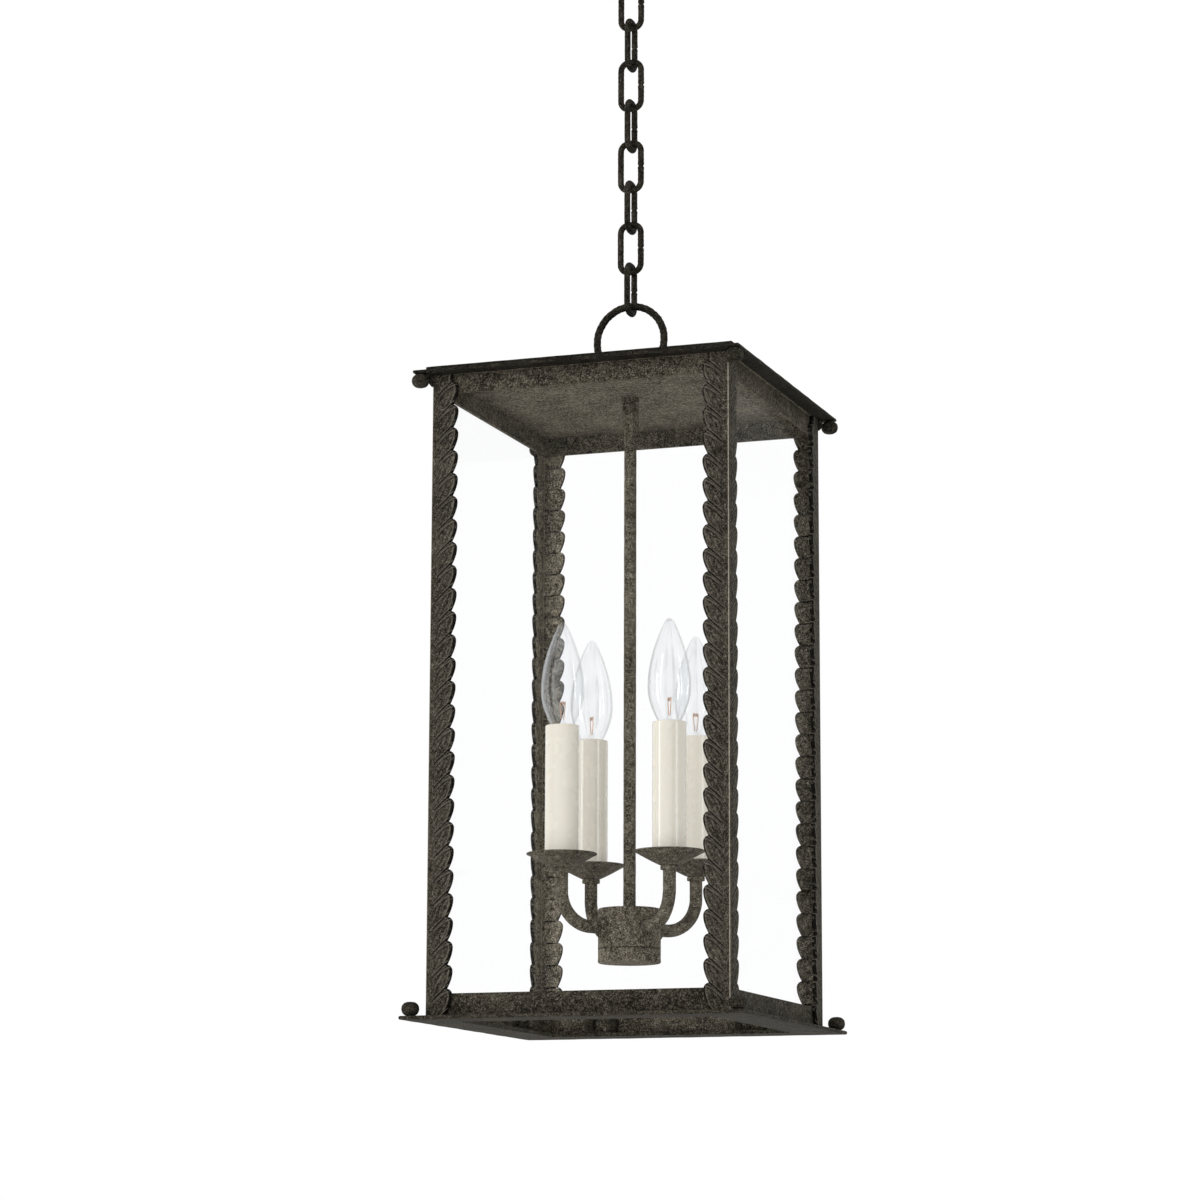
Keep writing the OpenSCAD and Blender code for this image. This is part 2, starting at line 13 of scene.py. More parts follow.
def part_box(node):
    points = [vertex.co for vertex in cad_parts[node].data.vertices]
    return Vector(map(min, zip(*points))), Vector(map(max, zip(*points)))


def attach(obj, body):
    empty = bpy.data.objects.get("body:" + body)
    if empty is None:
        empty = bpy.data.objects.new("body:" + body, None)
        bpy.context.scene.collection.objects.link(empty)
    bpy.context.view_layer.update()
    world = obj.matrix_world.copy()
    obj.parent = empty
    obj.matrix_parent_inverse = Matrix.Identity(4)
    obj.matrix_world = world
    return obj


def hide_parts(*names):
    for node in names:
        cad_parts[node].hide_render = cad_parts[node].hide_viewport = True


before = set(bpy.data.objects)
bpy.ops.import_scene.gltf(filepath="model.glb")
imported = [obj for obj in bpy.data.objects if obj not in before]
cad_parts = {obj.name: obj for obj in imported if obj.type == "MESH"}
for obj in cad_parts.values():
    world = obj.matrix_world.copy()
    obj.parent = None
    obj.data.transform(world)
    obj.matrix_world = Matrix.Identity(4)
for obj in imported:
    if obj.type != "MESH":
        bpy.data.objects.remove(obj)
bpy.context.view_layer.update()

bl_info = {
    "name": "Leaf-edged Hanging Lantern",
    "version": (1, 0, 0),
    "blender": (4, 5, 0),
    "location": "View3D > Sidebar > Lantern",
    "description": "Builds the surfaces and finishes of a square hanging lantern",
    "category": "Add Mesh",
}

MM = 0.001
CORNERS = {"fl": 0, "fr": 90, "br": 180, "bl": 270}
CEILING = "ceiling_mount"
LANTERN = "lantern"
ENDS = ("first", "last")

# Sizes that several pieces share
AXIS = 0.3 * MM  # radius at which a solid turned part closes on its axis
BORE = 5.2 * MM  # radius of the holes for the threaded tubes
HAMMER_PITCH = 11 * MM  # length of one hammer mark along a bar
PLAIN_STRIP = 4.8 * MM  # width of the unembossed strip beside a post's corner
LEAF_TRIM = 0.6  # share of a leaf that the top of a post cuts off
SHEET_WALL = 1.2 * MM  # wall of the spun canopy and of the candle sleeves

# The camera's lens in millimetres, and its small turns off the aim
LENS, SENSOR = 107.57, 36.0
CAMERA_YAW, CAMERA_ROLL = math.radians(0.48), math.radians(0.20)


def low(node):
    """Lowest corner of a frame node."""
    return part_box(node)[0]


def high(node):
    """Highest corner of a frame node."""
    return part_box(node)[1]


def middle(node):
    """Centre of a frame node's box."""
    return (low(node) + high(node)) / 2


# Levels and widths that the frame gives
BASE_TOP = high("base_plate").z
ROOF_UNDER = low("roof_plate").z
POST_HALF = high("corner_post_br").x
BULB_FOOT = low("bulb_glass_1").z
SOCKET_FOOT = low("candle_sleeve_1").z
ARM_LEVEL = (low("arm_collars").z + high("arm_collars").z) / 2
CLUSTER = [middle("candle_sleeve_%d" % i) for i in (1, 2, 3, 4)]


def length_prop(name, default, description):
    """A length in metres with a name and a description."""
    return bpy.props.FloatProperty(
        name=name, description=description, default=default, min=0.0,
        subtype="DISTANCE", unit="LENGTH",
    )


def angle_prop(name, degrees, description):
    """An angle, given in degrees, with a name and a description."""
    return bpy.props.FloatProperty(
        name=name, description=description, default=math.radians(degrees),
        subtype="ANGLE", unit="ROTATION",
    )


def colour_prop(name, default, description):
    """A linear colour with a name and a description."""
    return bpy.props.FloatVectorProperty(
        name=name, description=description, default=default, size=3, min=0.0, max=1.0, subtype="COLOR"
    )


class LanternSizes(bpy.types.PropertyGroup):
    """Sizes of the surfaces that the frame doesn't give."""

    leaf_count: bpy.props.IntProperty(
        name="Leaves", description="Leaves on each edge of a corner post", default=27, min=4
    )
    first_tip: length_prop("First leaf tip", 20 * MM, "Height of the first leaf tip above the base plate")
    leaf_reach: length_prop("Leaf reach", 4.9 * MM, "How far a leaf tip reaches past the notches")
    leaf_relief: length_prop("Leaf relief", 0.55 * MM, "Height of the swell of a leaf")
    post_sheet: length_prop("Post sheet", 3 * MM, "Thickness of the corner post sheet")
    chain_wire: length_prop("Chain wire", 5 * MM, "Diameter of the chain wire")
    ring_wire: length_prop("Ring bar", 6 * MM, "Diameter of the roof ring's bar")
    hammer: length_prop("Hammer marks", 0.12 * MM, "Depth of the hammer marks on round bars")
    bulb_wall: length_prop("Bulb wall", 0.8 * MM, "Thickness of the bulb glass")
    surround_light: bpy.props.FloatProperty(
        name="Surround light", description="Light of the white surround on the lantern",
        default=0.88, min=0.0,
    )
    camera_distance: length_prop("Camera distance", 2.855, "Level distance from the stem to the camera")
    camera_drop: length_prop("Camera drop", 0.183, "Height of the base plate above the camera")
    camera_azimuth: angle_prop("Camera azimuth", 19.34, "Turn of the camera from the front")
    camera_pitch: angle_prop("Camera pitch", 10.39, "Upward tilt of the camera")


class LanternColours(bpy.types.PropertyGroup):
    """Colours of the finishes."""

    iron: colour_prop("Iron", (0.0085, 0.0072, 0.0050), "Base of the aged iron finish")
    iron_light: colour_prop("Iron bloom", (0.066, 0.058, 0.043), "Paler bloom on the aged iron")
    # Also the colour of the painted highlights on the leaf posts.
    iron_fleck: colour_prop("Iron fleck", (0.25, 0.225, 0.185), "Fine flecks in the aged iron")
    ivory: colour_prop("Ivory", (0.80, 0.755, 0.655), "Candle sleeves")
    glass: colour_prop("Glass", (0.95, 0.955, 0.95), "Tint of the clear glass")
    copper: colour_prop("Filament", (0.62, 0.33, 0.18), "Filament and its supports")
    zinc: colour_prop("Zinc", (0.55, 0.55, 0.53), "Plated fasteners")
    lamp_brass: colour_prop("Lamp brass", (0.68, 0.50, 0.22), "Screw shells of the bulbs")
    black: colour_prop("Black", (0.012, 0.012, 0.012), "Sockets and leads")
    paper_white: colour_prop("Stage", (0.86, 0.86, 0.85), "Floor of the stage")


def sizes():
    """The scene's size settings."""
    return bpy.context.scene.lantern_sizes


def colours():
    """The scene's colour settings."""
    return bpy.context.scene.lantern_colours


# ---------------------------------------------------------------- meshes


def grid_faces(rows, columns, wrap_rows=False, wrap_columns=False, offset=0):
    """Quads of a grid of points in row order, optionally closed along either way."""
    row_count = rows if wrap_rows else rows - 1
    column_count = columns if wrap_columns else columns - 1
    r, c = np.meshgrid(np.arange(row_count), np.arange(column_count), indexing="ij")
    r2, c2 = (r + 1) % rows, (c + 1) % columns
    quads = np.stack([r * columns + c, r * columns + c2, r2 * columns + c2, r2 * columns + c], -1)
    return quads.reshape(-1, 4) + offset


class Shell:
    """Collects surfaces that become one mesh."""

    def __init__(self):
        self.points, self.faces, self.values, self.count = [], [], {}, 0

    def add(self, grid, wrap_rows=False, wrap_columns=False, flip=False, caps=(), values=None):
        """Adds a grid of points. caps names the end rows that are closed by one face each.

        values holds named numbers on the points, which every grid of a shell must give alike.
        """
        grid = np.asarray(grid, float)
        rows, columns = grid.shape[:2]
        quads = grid_faces(rows, columns, wrap_rows, wrap_columns, self.count)
        faces = (quads[:, ::-1] if flip else quads).tolist()
        first = np.arange(columns) + self.count
        last = first + (rows - 1) * columns
        for end in caps:
            loop = first[::-1] if end == "first" else last
            faces.append((loop[::-1] if flip else loop).tolist())
        self.points.append(grid.reshape(-1, 3))
        for name, numbers in (values or {}).items():
            self.values.setdefault(name, []).append(np.asarray(numbers, float).reshape(-1))
        self.faces.extend(faces)
        self.count += rows * columns
        return self

    def transformed(self, matrix):
        """A copy of the shell moved by a 4x4 matrix."""
        copy = Shell()
        m = np.array(matrix, float)
        copy.points = [p @ m[:3, :3].T + m[:3, 3] for p in self.points]
        copy.faces = list(self.faces) if np.linalg.det(m[:3, :3]) > 0 else [f[::-1] for f in self.faces]
        copy.values, copy.count = {name: list(parts) for name, parts in self.values.items()}, self.count
        return copy

    def join(self, other):
        """Adds another shell's surfaces to this one."""
        self.faces.extend([[index + self.count for index in face] for face in other.faces])
        self.points.extend(other.points)
        self.count += other.count


def make_piece(name, shell, material, body, nodes=(), sharp=40.0):
    """Turns a shell into a piece that rides on a body and stands for frame nodes."""
    points = np.concatenate(shell.points)
    mesh = bpy.data.meshes.new(name)
    mesh.from_pydata(points.tolist(), [], shell.faces)
    for label, parts in shell.values.items():
        layer = mesh.attributes.new(label, "FLOAT", "POINT")
        layer.data.foreach_set("value", np.concatenate(parts).astype(np.float32))
    mesh.validate()
    mesh.materials.append(material)
    piece = bpy.data.objects.new(name, mesh)
    bpy.context.scene.collection.objects.link(piece)
    mesh.polygons.foreach_set("use_smooth", np.ones(len(mesh.polygons), bool))
    mesh.set_sharp_from_angle(angle=math.radians(sharp))
    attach(piece, body)
    if nodes:
        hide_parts(*nodes)


def iron_piece(node, made, shell, finish, body=LANTERN, sharp=40.0):
    """An iron piece that stands for one node, named for it and for how it is made."""
    make_piece(node + "_" + made, shell, finish, body, [node], sharp)


def lathe(profile, segments, wobble=0.0, lobes=7, centre=(0, 0, 0)):
    """Profile of (radius, height) turned round a vertical axis through centre.

    Each point is radius * (cos a, sin a, 0) + height, and the radius swells and
    shrinks by wobble times a product of two sines of the angle and the height.
    """
    profile = np.asarray(profile, float)
    angle = np.linspace(0, 2 * math.pi, segments, endpoint=False)
    radius = profile[:, :1] * np.ones_like(angle)
    height = profile[:, 1:] * np.ones_like(angle)
    ripple = np.sin(lobes * angle + 900 * height) * np.sin((lobes - 2) * angle - 1400 * height)
    radius = radius + wobble * ripple * np.minimum(1, radius / 0.004)
    x = centre[0] + radius * np.cos(angle)
    y = centre[1] + radius * np.sin(angle)
    return np.stack([x, y, height + centre[2]], -1)


def turned(profile, segments, wobble=0.0, lobes=7, centre=(0, 0, 0), solid=False):
    """A lathed shell: its profile is closed, or when solid open and capped at both ends."""
    grid = lathe(profile, segments, wobble, lobes, centre)
    if solid:
        return Shell().add(grid, wrap_columns=True, caps=ENDS)
    return Shell().add(grid, wrap_rows=True, wrap_columns=True)


def arc(cx, cz, radius, start, end, count):
    """Points (x, z) along a circular arc, with its angles in degrees."""
    a = np.radians(np.linspace(start, end, count))
    return [(cx + radius * math.cos(t), cz + radius * math.sin(t)) for t in a]


def sweep(path, radius, sides, closed=False, wobble=0.0, pitch=HAMMER_PITCH):
    """A round bar along a path of points.

    Each ring lies across the path's direction, in a pair of axes carried along
    it, and its radius is radius + wobble * sine products of distance and angle.
    """
    path = np.asarray(path, float)
    if closed:
        ahead, behind = np.roll(path, -1, 0), np.roll(path, 1, 0)
    else:
        ahead, behind = np.vstack([path[1:], path[-1:]]), np.vstack([path[:1], path[:-1]])
    along = ahead - behind
    along /= np.linalg.norm(along, axis=1, keepdims=True)
    spread = np.ptp(path, axis=0)
    across = np.eye(3)[int(np.argmin(spread))]
    side = np.cross(along, across)
    lengths = np.linalg.norm(side, axis=1, keepdims=True)
    tiny = 1e-6
    side = np.where(lengths > tiny, side / np.maximum(lengths, tiny), np.array([0.0, 0.0, 1.0]))
    other = np.cross(along, side)
    steps = np.linalg.norm(np.diff(path, axis=0), axis=1)
    distance = np.concatenate([[0], np.cumsum(steps)])[:, None]
    total = distance[-1, 0] + (np.linalg.norm(path[0] - path[-1]) if closed else 0)
    turns = max(1, round(total / pitch))
    phase = 2 * math.pi * turns * distance / total
    angle = np.linspace(0, 2 * math.pi, sides, endpoint=False)[None, :]
    swell = np.sin(phase + 2 * angle) * np.cos(2 * phase - 3 * angle) * 0.6
    swell = swell + 0.4 * np.sin(3 * phase + angle)
    r = np.asarray(radius, float).reshape(-1, 1) + wobble * swell
    ring = side[:, None, :] * np.cos(angle)[..., None] + other[:, None, :] * np.sin(angle)[..., None]
    return path[:, None, :] + ring * r[..., None]


def rod(path, radius, sides, wobble=0.0):
    """A solid round bar along an open path."""
    return Shell().add(sweep(path, radius, sides, False, wobble), wrap_columns=True, caps=ENDS)


def hoop(path, radius, wobble, pitch=HAMMER_PITCH):
    """The surface points of a round bar that closes on itself."""
    return sweep(path, radius, 20, True, wobble, pitch)


def square_band(profile, wobble, seed, per_side=40):
    """A profile of (half width, height) carried round a square with mitred corners.

    The outline of a unit square is scaled by each half width. wobble moves the
    points in and out by a product of sines along the outline, zero at corners.
    """
    profile = np.asarray(profile, float)
    t = np.linspace(-1, 1, per_side, endpoint=False)
    one = np.ones_like(t)
    outline = np.concatenate([
        np.stack([t, -one], -1), np.stack([one, t], -1),
        np.stack([-t, one], -1), np.stack([-one, -t], -1),
    ])
    run = np.concatenate([t, t, t, t])
    side = np.repeat(np.arange(4), per_side)
    ripple = np.sin(9.3 * run + 2.1 * side + seed) * np.sin(23.7 * run + 1.3 * side + 2 * seed)
    ripple = ripple * (1 - run ** 8)
    half = profile[:, :1] + wobble * ripple[None, :]
    height = profile[:, 1:] * np.ones_like(run) + 0.35 * wobble * np.roll(ripple, 5)[None, :]
    return np.stack([outline[:, 0] * half, outline[:, 1] * half, height], -1)


def set_material(piece, material):
    """Gives a piece one material in place of what it had."""
    piece.data.materials.clear()
    piece.data.materials.append(material)


def merged_copy(node, bevel):
    """A copy of a frame node's mesh with its points welded and its edges bevelled."""
    piece = bpy.data.objects.new(node + "_finished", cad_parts[node].data.copy())
    bpy.context.scene.collection.objects.link(piece)
    weld = piece.modifiers.new("weld", "WELD")
    weld.merge_threshold = 0.01 * MM
    soften = piece.modifiers.new("bevel", "BEVEL")
    soften.width = bevel
    soften.segments = 2
    soften.angle_limit = math.radians(35)
    soften.harden_normals = False
    return piece


# ---------------------------------------------------------------- shaders


class Wire:
    """A shader socket that arithmetic can be written with."""

    def __init__(self, shade, socket):
        self.shade, self.socket = shade, socket

    def _math(self, operation, first, second):
        return self.shade.node("ShaderNodeMath", {"operation": operation}, {0: first, 1: second})

    def __add__(self, other):
        return self._math("ADD", self, other)

    def __radd__(self, other):
        return self._math("ADD", other, self)

    def __sub__(self, other):
        return self._math("SUBTRACT", self, other)

    def __rsub__(self, other):
        return self._math("SUBTRACT", other, self)

    def __mul__(self, other):
        return self._math("MULTIPLY", self, other)

    def __rmul__(self, other):
        return self._math("MULTIPLY", other, self)

    def __truediv__(self, other):
        return self._math("DIVIDE", self, other)

    def __pow__(self, other):
        return self._math("POWER", self, other)

    def clamped(self):
        """The same value kept between 0 and 1."""
        return self.shade.node("ShaderNodeClamp", {}, {"Value": self})

    def modulo(self, other):
        """What is left of the value after whole steps of another."""
        return self._math("FLOORED_MODULO", self, other)

    def tent(self, centre, reach):
        """1 where the value is at the centre, falling straight to 0 at the reach."""
        return (1.0 - self._math("ABSOLUTE", self - centre, 0.0) / reach).clamped()

    def sine(self):
        """The sine of the value in radians."""
        return self._math("SINE", self, 0.0)


class Shade:
    """Builds one material out of nodes."""

    def __init__(self, name):
        self.material = bpy.data.materials.new(name)
        self.material.use_nodes = True
        self.tree = self.material.node_tree
        self.tree.nodes.clear()

    def node(self, kind, settings=None, inputs=None, output=0):
        """One node with its settings and socket values; gives the wire of one output."""
        made = self.tree.nodes.new(kind)
        for key, value in (settings or {}).items():
            if key == "stops":
                self._stops(made.color_ramp, value)
            else:
                setattr(made, key, value)
        for key, value in (inputs or {}).items():
            self.feed(made.inputs[key], value)
        return Wire(self, made.outputs[output])

    def _stops(self, ramp, stops):
        """Sets a colour ramp's stops from (position, brightness) pairs."""
        while len(ramp.elements) > 1:
            ramp.elements.remove(ramp.elements[-1])
        for index, (position, level) in enumerate(stops):
            stop = ramp.elements[0] if index == 0 else ramp.elements.new(position)
            stop.position = position
            stop.color = (level, level, level, 1.0)

    def feed(self, socket, value):
        """Links a wire to a socket, or sets the socket's value."""
        if isinstance(value, Wire):
            self.tree.links.new(value.socket, socket)
        elif hasattr(value, "__len__") and len(value) == 3 and socket.type == "RGBA":
            socket.default_value = (*value, 1.0)
        else:
            socket.default_value = value

    def place(self):
        """Object coordinates."""
        return self.node("ShaderNodeTexCoord", {}, {}, "Object")

    def noise(self, place, scale, detail=3.0, rough=0.55, distortion=0.0):
        """Noise with a scale in repeats per metre."""
        return self.node("ShaderNodeTexNoise", {}, {
            "Vector": place, "Scale": scale, "Detail": detail, "Roughness": rough,
            "Distortion": distortion,
        })

    def ramp(self, value, *stops):
        """A value sent through a ramp of (position, brightness) stops."""
        return self.node("ShaderNodeValToRGB", {"stops": stops}, {"Fac": value})

    def mix(self, factor, first, second):
        """A mix of two colours."""
        return self.node("ShaderNodeMix", {"data_type": "RGBA"}, {0: factor, 6: first, 7: second}, 2)

    def bump(self, height, strength, distance):
        """A bumped normal from a height."""
        return self.node("ShaderNodeBump", {}, {
            "Height": height, "Strength": strength, "Distance": distance,
        })

    def attribute(self, name):
        """A number stored on the piece's points."""
        return self.node("ShaderNodeAttribute", {"attribute_name": name}, {}, "Fac")

    def height(self, place):
        """The height of a place, in metres."""
        return self.node("ShaderNodeSeparateXYZ", {}, {"Vector": place}, "Z")

    def beyond(self, place, half):
        """1 outside a square column of a half width round the vertical axis, 0 inside it."""
        axes = self.node("ShaderNodeVectorMath", {"operation": "ABSOLUTE"}, {0: place})
        wide = self.node("ShaderNodeSeparateXYZ", {}, {"Vector": axes}, "X")
        deep = self.node("ShaderNodeSeparateXYZ", {}, {"Vector": axes}, "Y")
        reach = self.node("ShaderNodeMath", {"operation": "MAXIMUM"}, {0: wide, 1: deep})
        border = 0.25 * MM
        return ((reach - half) * (1.0 / border)).clamped()

    def blend(self, amount, first, second):
        """A mix of two shaders, sent to the material's surface."""
        return self.finish(self.node("ShaderNodeMixShader", {}, {0: amount, 1: first, 2: second}))

    def see_through(self, colour):
        """Clear glass that bends nothing."""
        return self.node("ShaderNodeBsdfTransparent", {}, {"Color": colour})

    def principled(self, **inputs):
        """The main shader, its sockets named with underscores for spaces."""
        named = {key.replace("_", " "): value for key, value in inputs.items()}
        return self.node("ShaderNodeBsdfPrincipled", {}, named)

    def finish(self, shader):
        """Sends a shader to the material's surface."""
        end = self.tree.nodes.new("ShaderNodeOutputMaterial")
        self.feed(end.inputs["Surface"], shader)
        return self.material


_made = {}


def once(maker):
    """Makes each material the first time it is asked for."""
    def get(*args, **named):
        key = (maker.__name__, args, tuple(named.items()))
        if key not in _made:
            _made[key] = maker(*args, **named)
        return _made[key]
    return get


def scaled(colour, factor):
    """A colour made lighter or darker."""
    return tuple(min(1.0, factor * part) for part in colour)


def iron_patina(shade, place, tone, contrast=1.0, inner=None, outside=None):
    """Colour, grain and bump height of the aged iron.

    Dark brown base, grains and clouds of pale bloom, sharp flecks of about
    1 mm, thicker where the wide patches are pale, and small dark pits. The tone
    is that of the outside, and inner that of the surfaces where outside is 0;
    where the two differ, they are painted light and shade on one part.
    """
    tint = colours()

    def coat(colour, factor=1.0):
        """One colour of the patina in the tones of the part."""
        if inner is None:
            return scaled(colour, factor * tone)
        return shade.mix(outside, scaled(colour, factor * inner), scaled(colour, factor * tone))

    grain = shade.noise(place, 900.0, 2.0, 0.7)
    cloud = shade.noise(place, 260.0, 3.0, 0.6)
    patch = shade.noise(place, 36.0, 3.0, 0.55)
    centre, half = 0.505, 0.055 / contrast
    mottle = grain * 0.62 + cloud * 0.20 + patch * 0.18
    bloom = shade.ramp(mottle, (centre - half, 0.0), (centre + half, 1.0))
    speckle = shade.noise(place, 1050.0, 1.0, 0.5) * 0.72 + cloud * 0.28
    flecks = shade.ramp(speckle, (0.56, 0.0), (0.65, 1.0))
    pits = shade.ramp(shade.noise(place, 820.0, 2.0, 0.6), (0.56, 0.0), (0.66, 1.0))
    colour = shade.mix(bloom, coat(tint.iron), coat(tint.iron_light))
    colour = shade.mix(flecks * (0.50 * contrast), colour, coat(tint.iron_fleck))
    colour = shade.mix(pits * (0.45 * contrast), colour, coat(tint.iron, 0.6))
    return colour, grain, grain * 0.6 + cloud * 0.8


@once
def iron_finish(name, tone, contrast, inner=None, half=None, seam=None):
    """Aged iron on plain parts.

    With a half width, surfaces within it from the middle have the inner tone,
    which with the outer tone paints light and shade on the part. A seam is a
    height at which a thin dark line runs round the part.
    """
    shade = Shade(name)
    place = shade.place()
    outside = None if half is None else shade.beyond(place, half)
    colour, grain, height = iron_patina(shade, place, tone, contrast, inner, outside)
    if seam is not None:
        line = shade.height(place).tent(seam, 0.9 * MM)
        colour = shade.mix(line * 0.85, colour, scaled(colours().iron, 0.5))
    return shade.finish(shade.principled(
        Base_Color=colour, Metallic=0.1, Roughness=0.62 + 0.25 * grain,
        Specular_IOR_Level=0.06, Normal=shade.bump(height, 0.7, 0.0005),
    ))


@once
def embossed_finish(name, inner_tone):
    """Aged iron with a row of embossed leaves along each flange of a post.

    across is the distance from the post's corner and inward the distance from
    the leaf edge, in millimetres. A leaf hangs below a curved upper line, and
    depth is how far down from that line a point is, within one step of the
    pattern. Raised lines run just inside a leaf's two borders and along the
    middle of the band to the next leaf, grooves beside the band, short slanted
    veins inside, and the rim rolls down to the edge. The colour paints light
    and shade on this relief: painted highlights on the raised lines, the veins,
    a bead just inside the rim and a thin line along the corner, and painted
    shade in the grooves, between the veins and on the rolled rim. The inner
    faces take inner_tone, a paler tone than the outside, which is painted light.
    """
    tint, settings = colours(), sizes()
    shade = Shade(name)
    place = shade.place()
    # The inner faces, where behind is 1, take inner_tone, a paler tone that is painted light.
    outside = 1.0 - shade.attribute("behind")
    base, grain, rough_height = iron_patina(shade, place, 1.2, 0.85, inner_tone, outside)
    across, inward = shade.attribute("across"), shade.attribute("inward")
    level = (shade.height(place) - BASE_TOP) * 1000.0
    first = settings.first_tip * 1000.0
    step = leaf_pitch(settings) * 1000.0
    wander = (shade.noise(place, 160.0, 2.0) - 0.5) * 1.2
    upper_end, lower_end = 18.9, 5.7
    run = upper_end - across
    fall = 0.7 + 0.3 * run + 0.036 * run * run
    climb = across - lower_end
    lower_rise = climb * 0.98 - climb * climb * 0.009 - 7.7
    body = step - fall - lower_rise
    depth = (first - fall - level + wander * 0.5).modulo(step)
    fade = ((across - PLAIN_STRIP / MM) / 1.3).clamped()
    past = depth - body
    ridge = depth.tent(0.8, 0.8) + past.tent(-0.8, 0.8) + 0.7 * past.tent(2.1, 0.7)
    groove = past.tent(0.7, 0.9) + depth.tent(step - 0.7, 0.8) + 0.7 * depth.tent(2.2, 0.8)
    inside = ((depth - 1.8) / 0.8).clamped() * ((body - depth - 1.6) / 0.8).clamped()
    vein_pitch = 3.1
    slant = across * 0.80 - level * 0.42 + wander * 2.6
    stroke = (slant * (2 * math.pi / vein_pitch)).sine()
    patchy = shade.ramp(shade.noise(place, 300.0, 2.0), (0.47, 0.0), (0.58, 1.0))
    vein = (stroke * 1.6 - 0.3).clamped() * inside * patchy
    hollow = (stroke * -1.5 - 0.3).clamped() * inside * 0.35
    rim = ((1.6 - inward) / 0.7).clamped()
    bead = inward.tent(2.3, 0.75)
    # corner marks a thin line along the post's corner, for a painted highlight.
    corner = across.tent(0.3, 0.6)
    # Patches that break up the painted highlights.
    highlight_breaks = shade.ramp(shade.noise(place, 480.0, 3.0, 0.7), (0.40, 0.45), (0.56, 1.0))
    # light is painted highlight on the ridges, veins and bead; dark is painted shade in the grooves,
    # between the veins and on the rolled rim.
    light = ((ridge + vein * 0.5) * fade + bead * 0.7).clamped() * highlight_breaks * outside
    dark = ((groove + hollow) * fade + rim).clamped() * outside
    colour = shade.mix(dark * 0.92, base, scaled(tint.iron, 0.25))
    colour = shade.mix(light * 0.82, colour, scaled(tint.iron_fleck, 0.85))
    # Painted highlight: a thin pale line along the post's corner, broken in patches.
    colour = shade.mix((corner * highlight_breaks * 1.5).clamped(), colour, scaled(tint.iron_fleck, 1.5))
    height = (ridge * 0.9 - groove * 0.9 + vein * 0.4 - hollow * 0.2 + inside * 0.3) * fade
    height = (height + bead * 0.4 - rim * 0.8) * outside + rough_height * 0.5
    return shade.finish(shade.principled(
        Base_Color=colour, Metallic=0.1, Roughness=0.60 + 0.25 * grain,
        Specular_IOR_Level=0.08, Normal=shade.bump(height, 1.0, 0.0008),
    ))


@once
def ivory_finish():
    """Smooth ivory sleeve with a very faint mottling."""
    shade = Shade("candle_ivory")
    place = shade.place()
    cloud = shade.noise(place, 60.0, 2.0)
    base = colours().ivory
    colour = shade.mix(cloud, scaled(base, 0.985), scaled(base, 1.01))
    return shade.finish(shade.principled(
        Base_Color=colour, Roughness=0.24 + 0.06 * cloud, Subsurface_Weight=0.04,
        Subsurface_Scale=0.003, Coat_Weight=0.6, Coat_Roughness=0.06,
    ))


@once
def pane_finish():
    """Clear flat glass, mostly see-through, with a reflection that grows at grazing views."""
    shade = Shade("pane_glass")
    edge = shade.node("ShaderNodeFresnel", {}, {"IOR": 1.45})
    smear = shade.noise(shade.place(), 9.0, 2.0)
    through = shade.see_through((0.998, 0.999, 0.999))
    gloss = shade.principled(
        Base_Color=colours().glass, Metallic=1.0, Roughness=0.03 + 0.05 * smear,
    )
    return shade.blend((0.003 + edge * 0.022).clamped(), through, gloss)


@once
def bulb_finish():
    """Clear blown glass: soft white streaks down its length, painted reflections where a mirror layer shows
    in stripes, and thin grey edges painted where the glass turns away.
    """
    shade = Shade("bulb_glass")
    place = shade.place()
    facing = shade.node("ShaderNodeLayerWeight", {}, {"Blend": 0.5}, "Facing")
    stretched = shade.node("ShaderNodeMapping", {}, {"Vector": place, "Scale": (1.0, 1.0, 0.28)})
    # Stripes where a mirror layer shows: painted reflections.
    reflection_streak = shade.ramp(shade.noise(stretched, 75.0, 2.0, 0.5, 0.8), (0.44, 0.0), (0.60, 1.0))
    through = shade.see_through((0.982, 0.985, 0.988))
    # rim paints a thin grey edge where the glass turns away from view.
    rim = (facing ** 5.0).clamped()
    gloss = shade.principled(
        Base_Color=shade.mix(rim, (0.93, 0.94, 0.95), (0.20, 0.205, 0.215)),
        Metallic=1.0, Roughness=0.05 + 0.05 * reflection_streak,
    )
    # The mirror layer shows faintly everywhere, more along the painted reflection stripes, and grey at the
    # painted rim.
    return shade.blend((0.02 + 0.08 * reflection_streak + 0.95 * rim).clamped(), through, gloss)


@once
def plain_finish(name, kind, metallic, roughness):
    """A plain finish with fine grain, for small hardware."""
    shade = Shade(name)
    place = shade.place()
    grain = shade.noise(place, 700.0, 2.0)
    base = getattr(colours(), kind)
    colour = shade.mix(grain, scaled(base, 0.85), scaled(base, 1.12))
    return shade.finish(shade.principled(
        Base_Color=colour, Metallic=metallic, Roughness=roughness + 0.1 * grain,
        Normal=shade.bump(grain, 0.12, 0.0002),
    ))


def case_iron():
    """Finish of small fittings on the case."""
    return iron_finish("case_iron", 0.7, 0.8)


def sheet_iron(name, outer, inner, half):
    """Finish of a square sheet: one tone on its outer edges, and another within them; where they differ,
    they are painted shade on the edges and painted light within them.
    """
    return iron_finish(name, outer, 0.85, inner=inner, half=half - 1.0 * MM)


def cluster_iron():
    """Finish of the stem, hub, arms and pans, a little paler and more even; the paler tone paints the haze
    of the panes they are seen through.
    """
    return iron_finish("cluster_iron", 2.6, 0.75)


def hub_iron():
    """Finish of the hub and its cap, paler still, painting the haze of the panes in front of it, with a
    thin dark line along the seam between them.
    """
    return iron_finish("hub_iron", 3.1, 0.75, seam=low("hub_body").z)


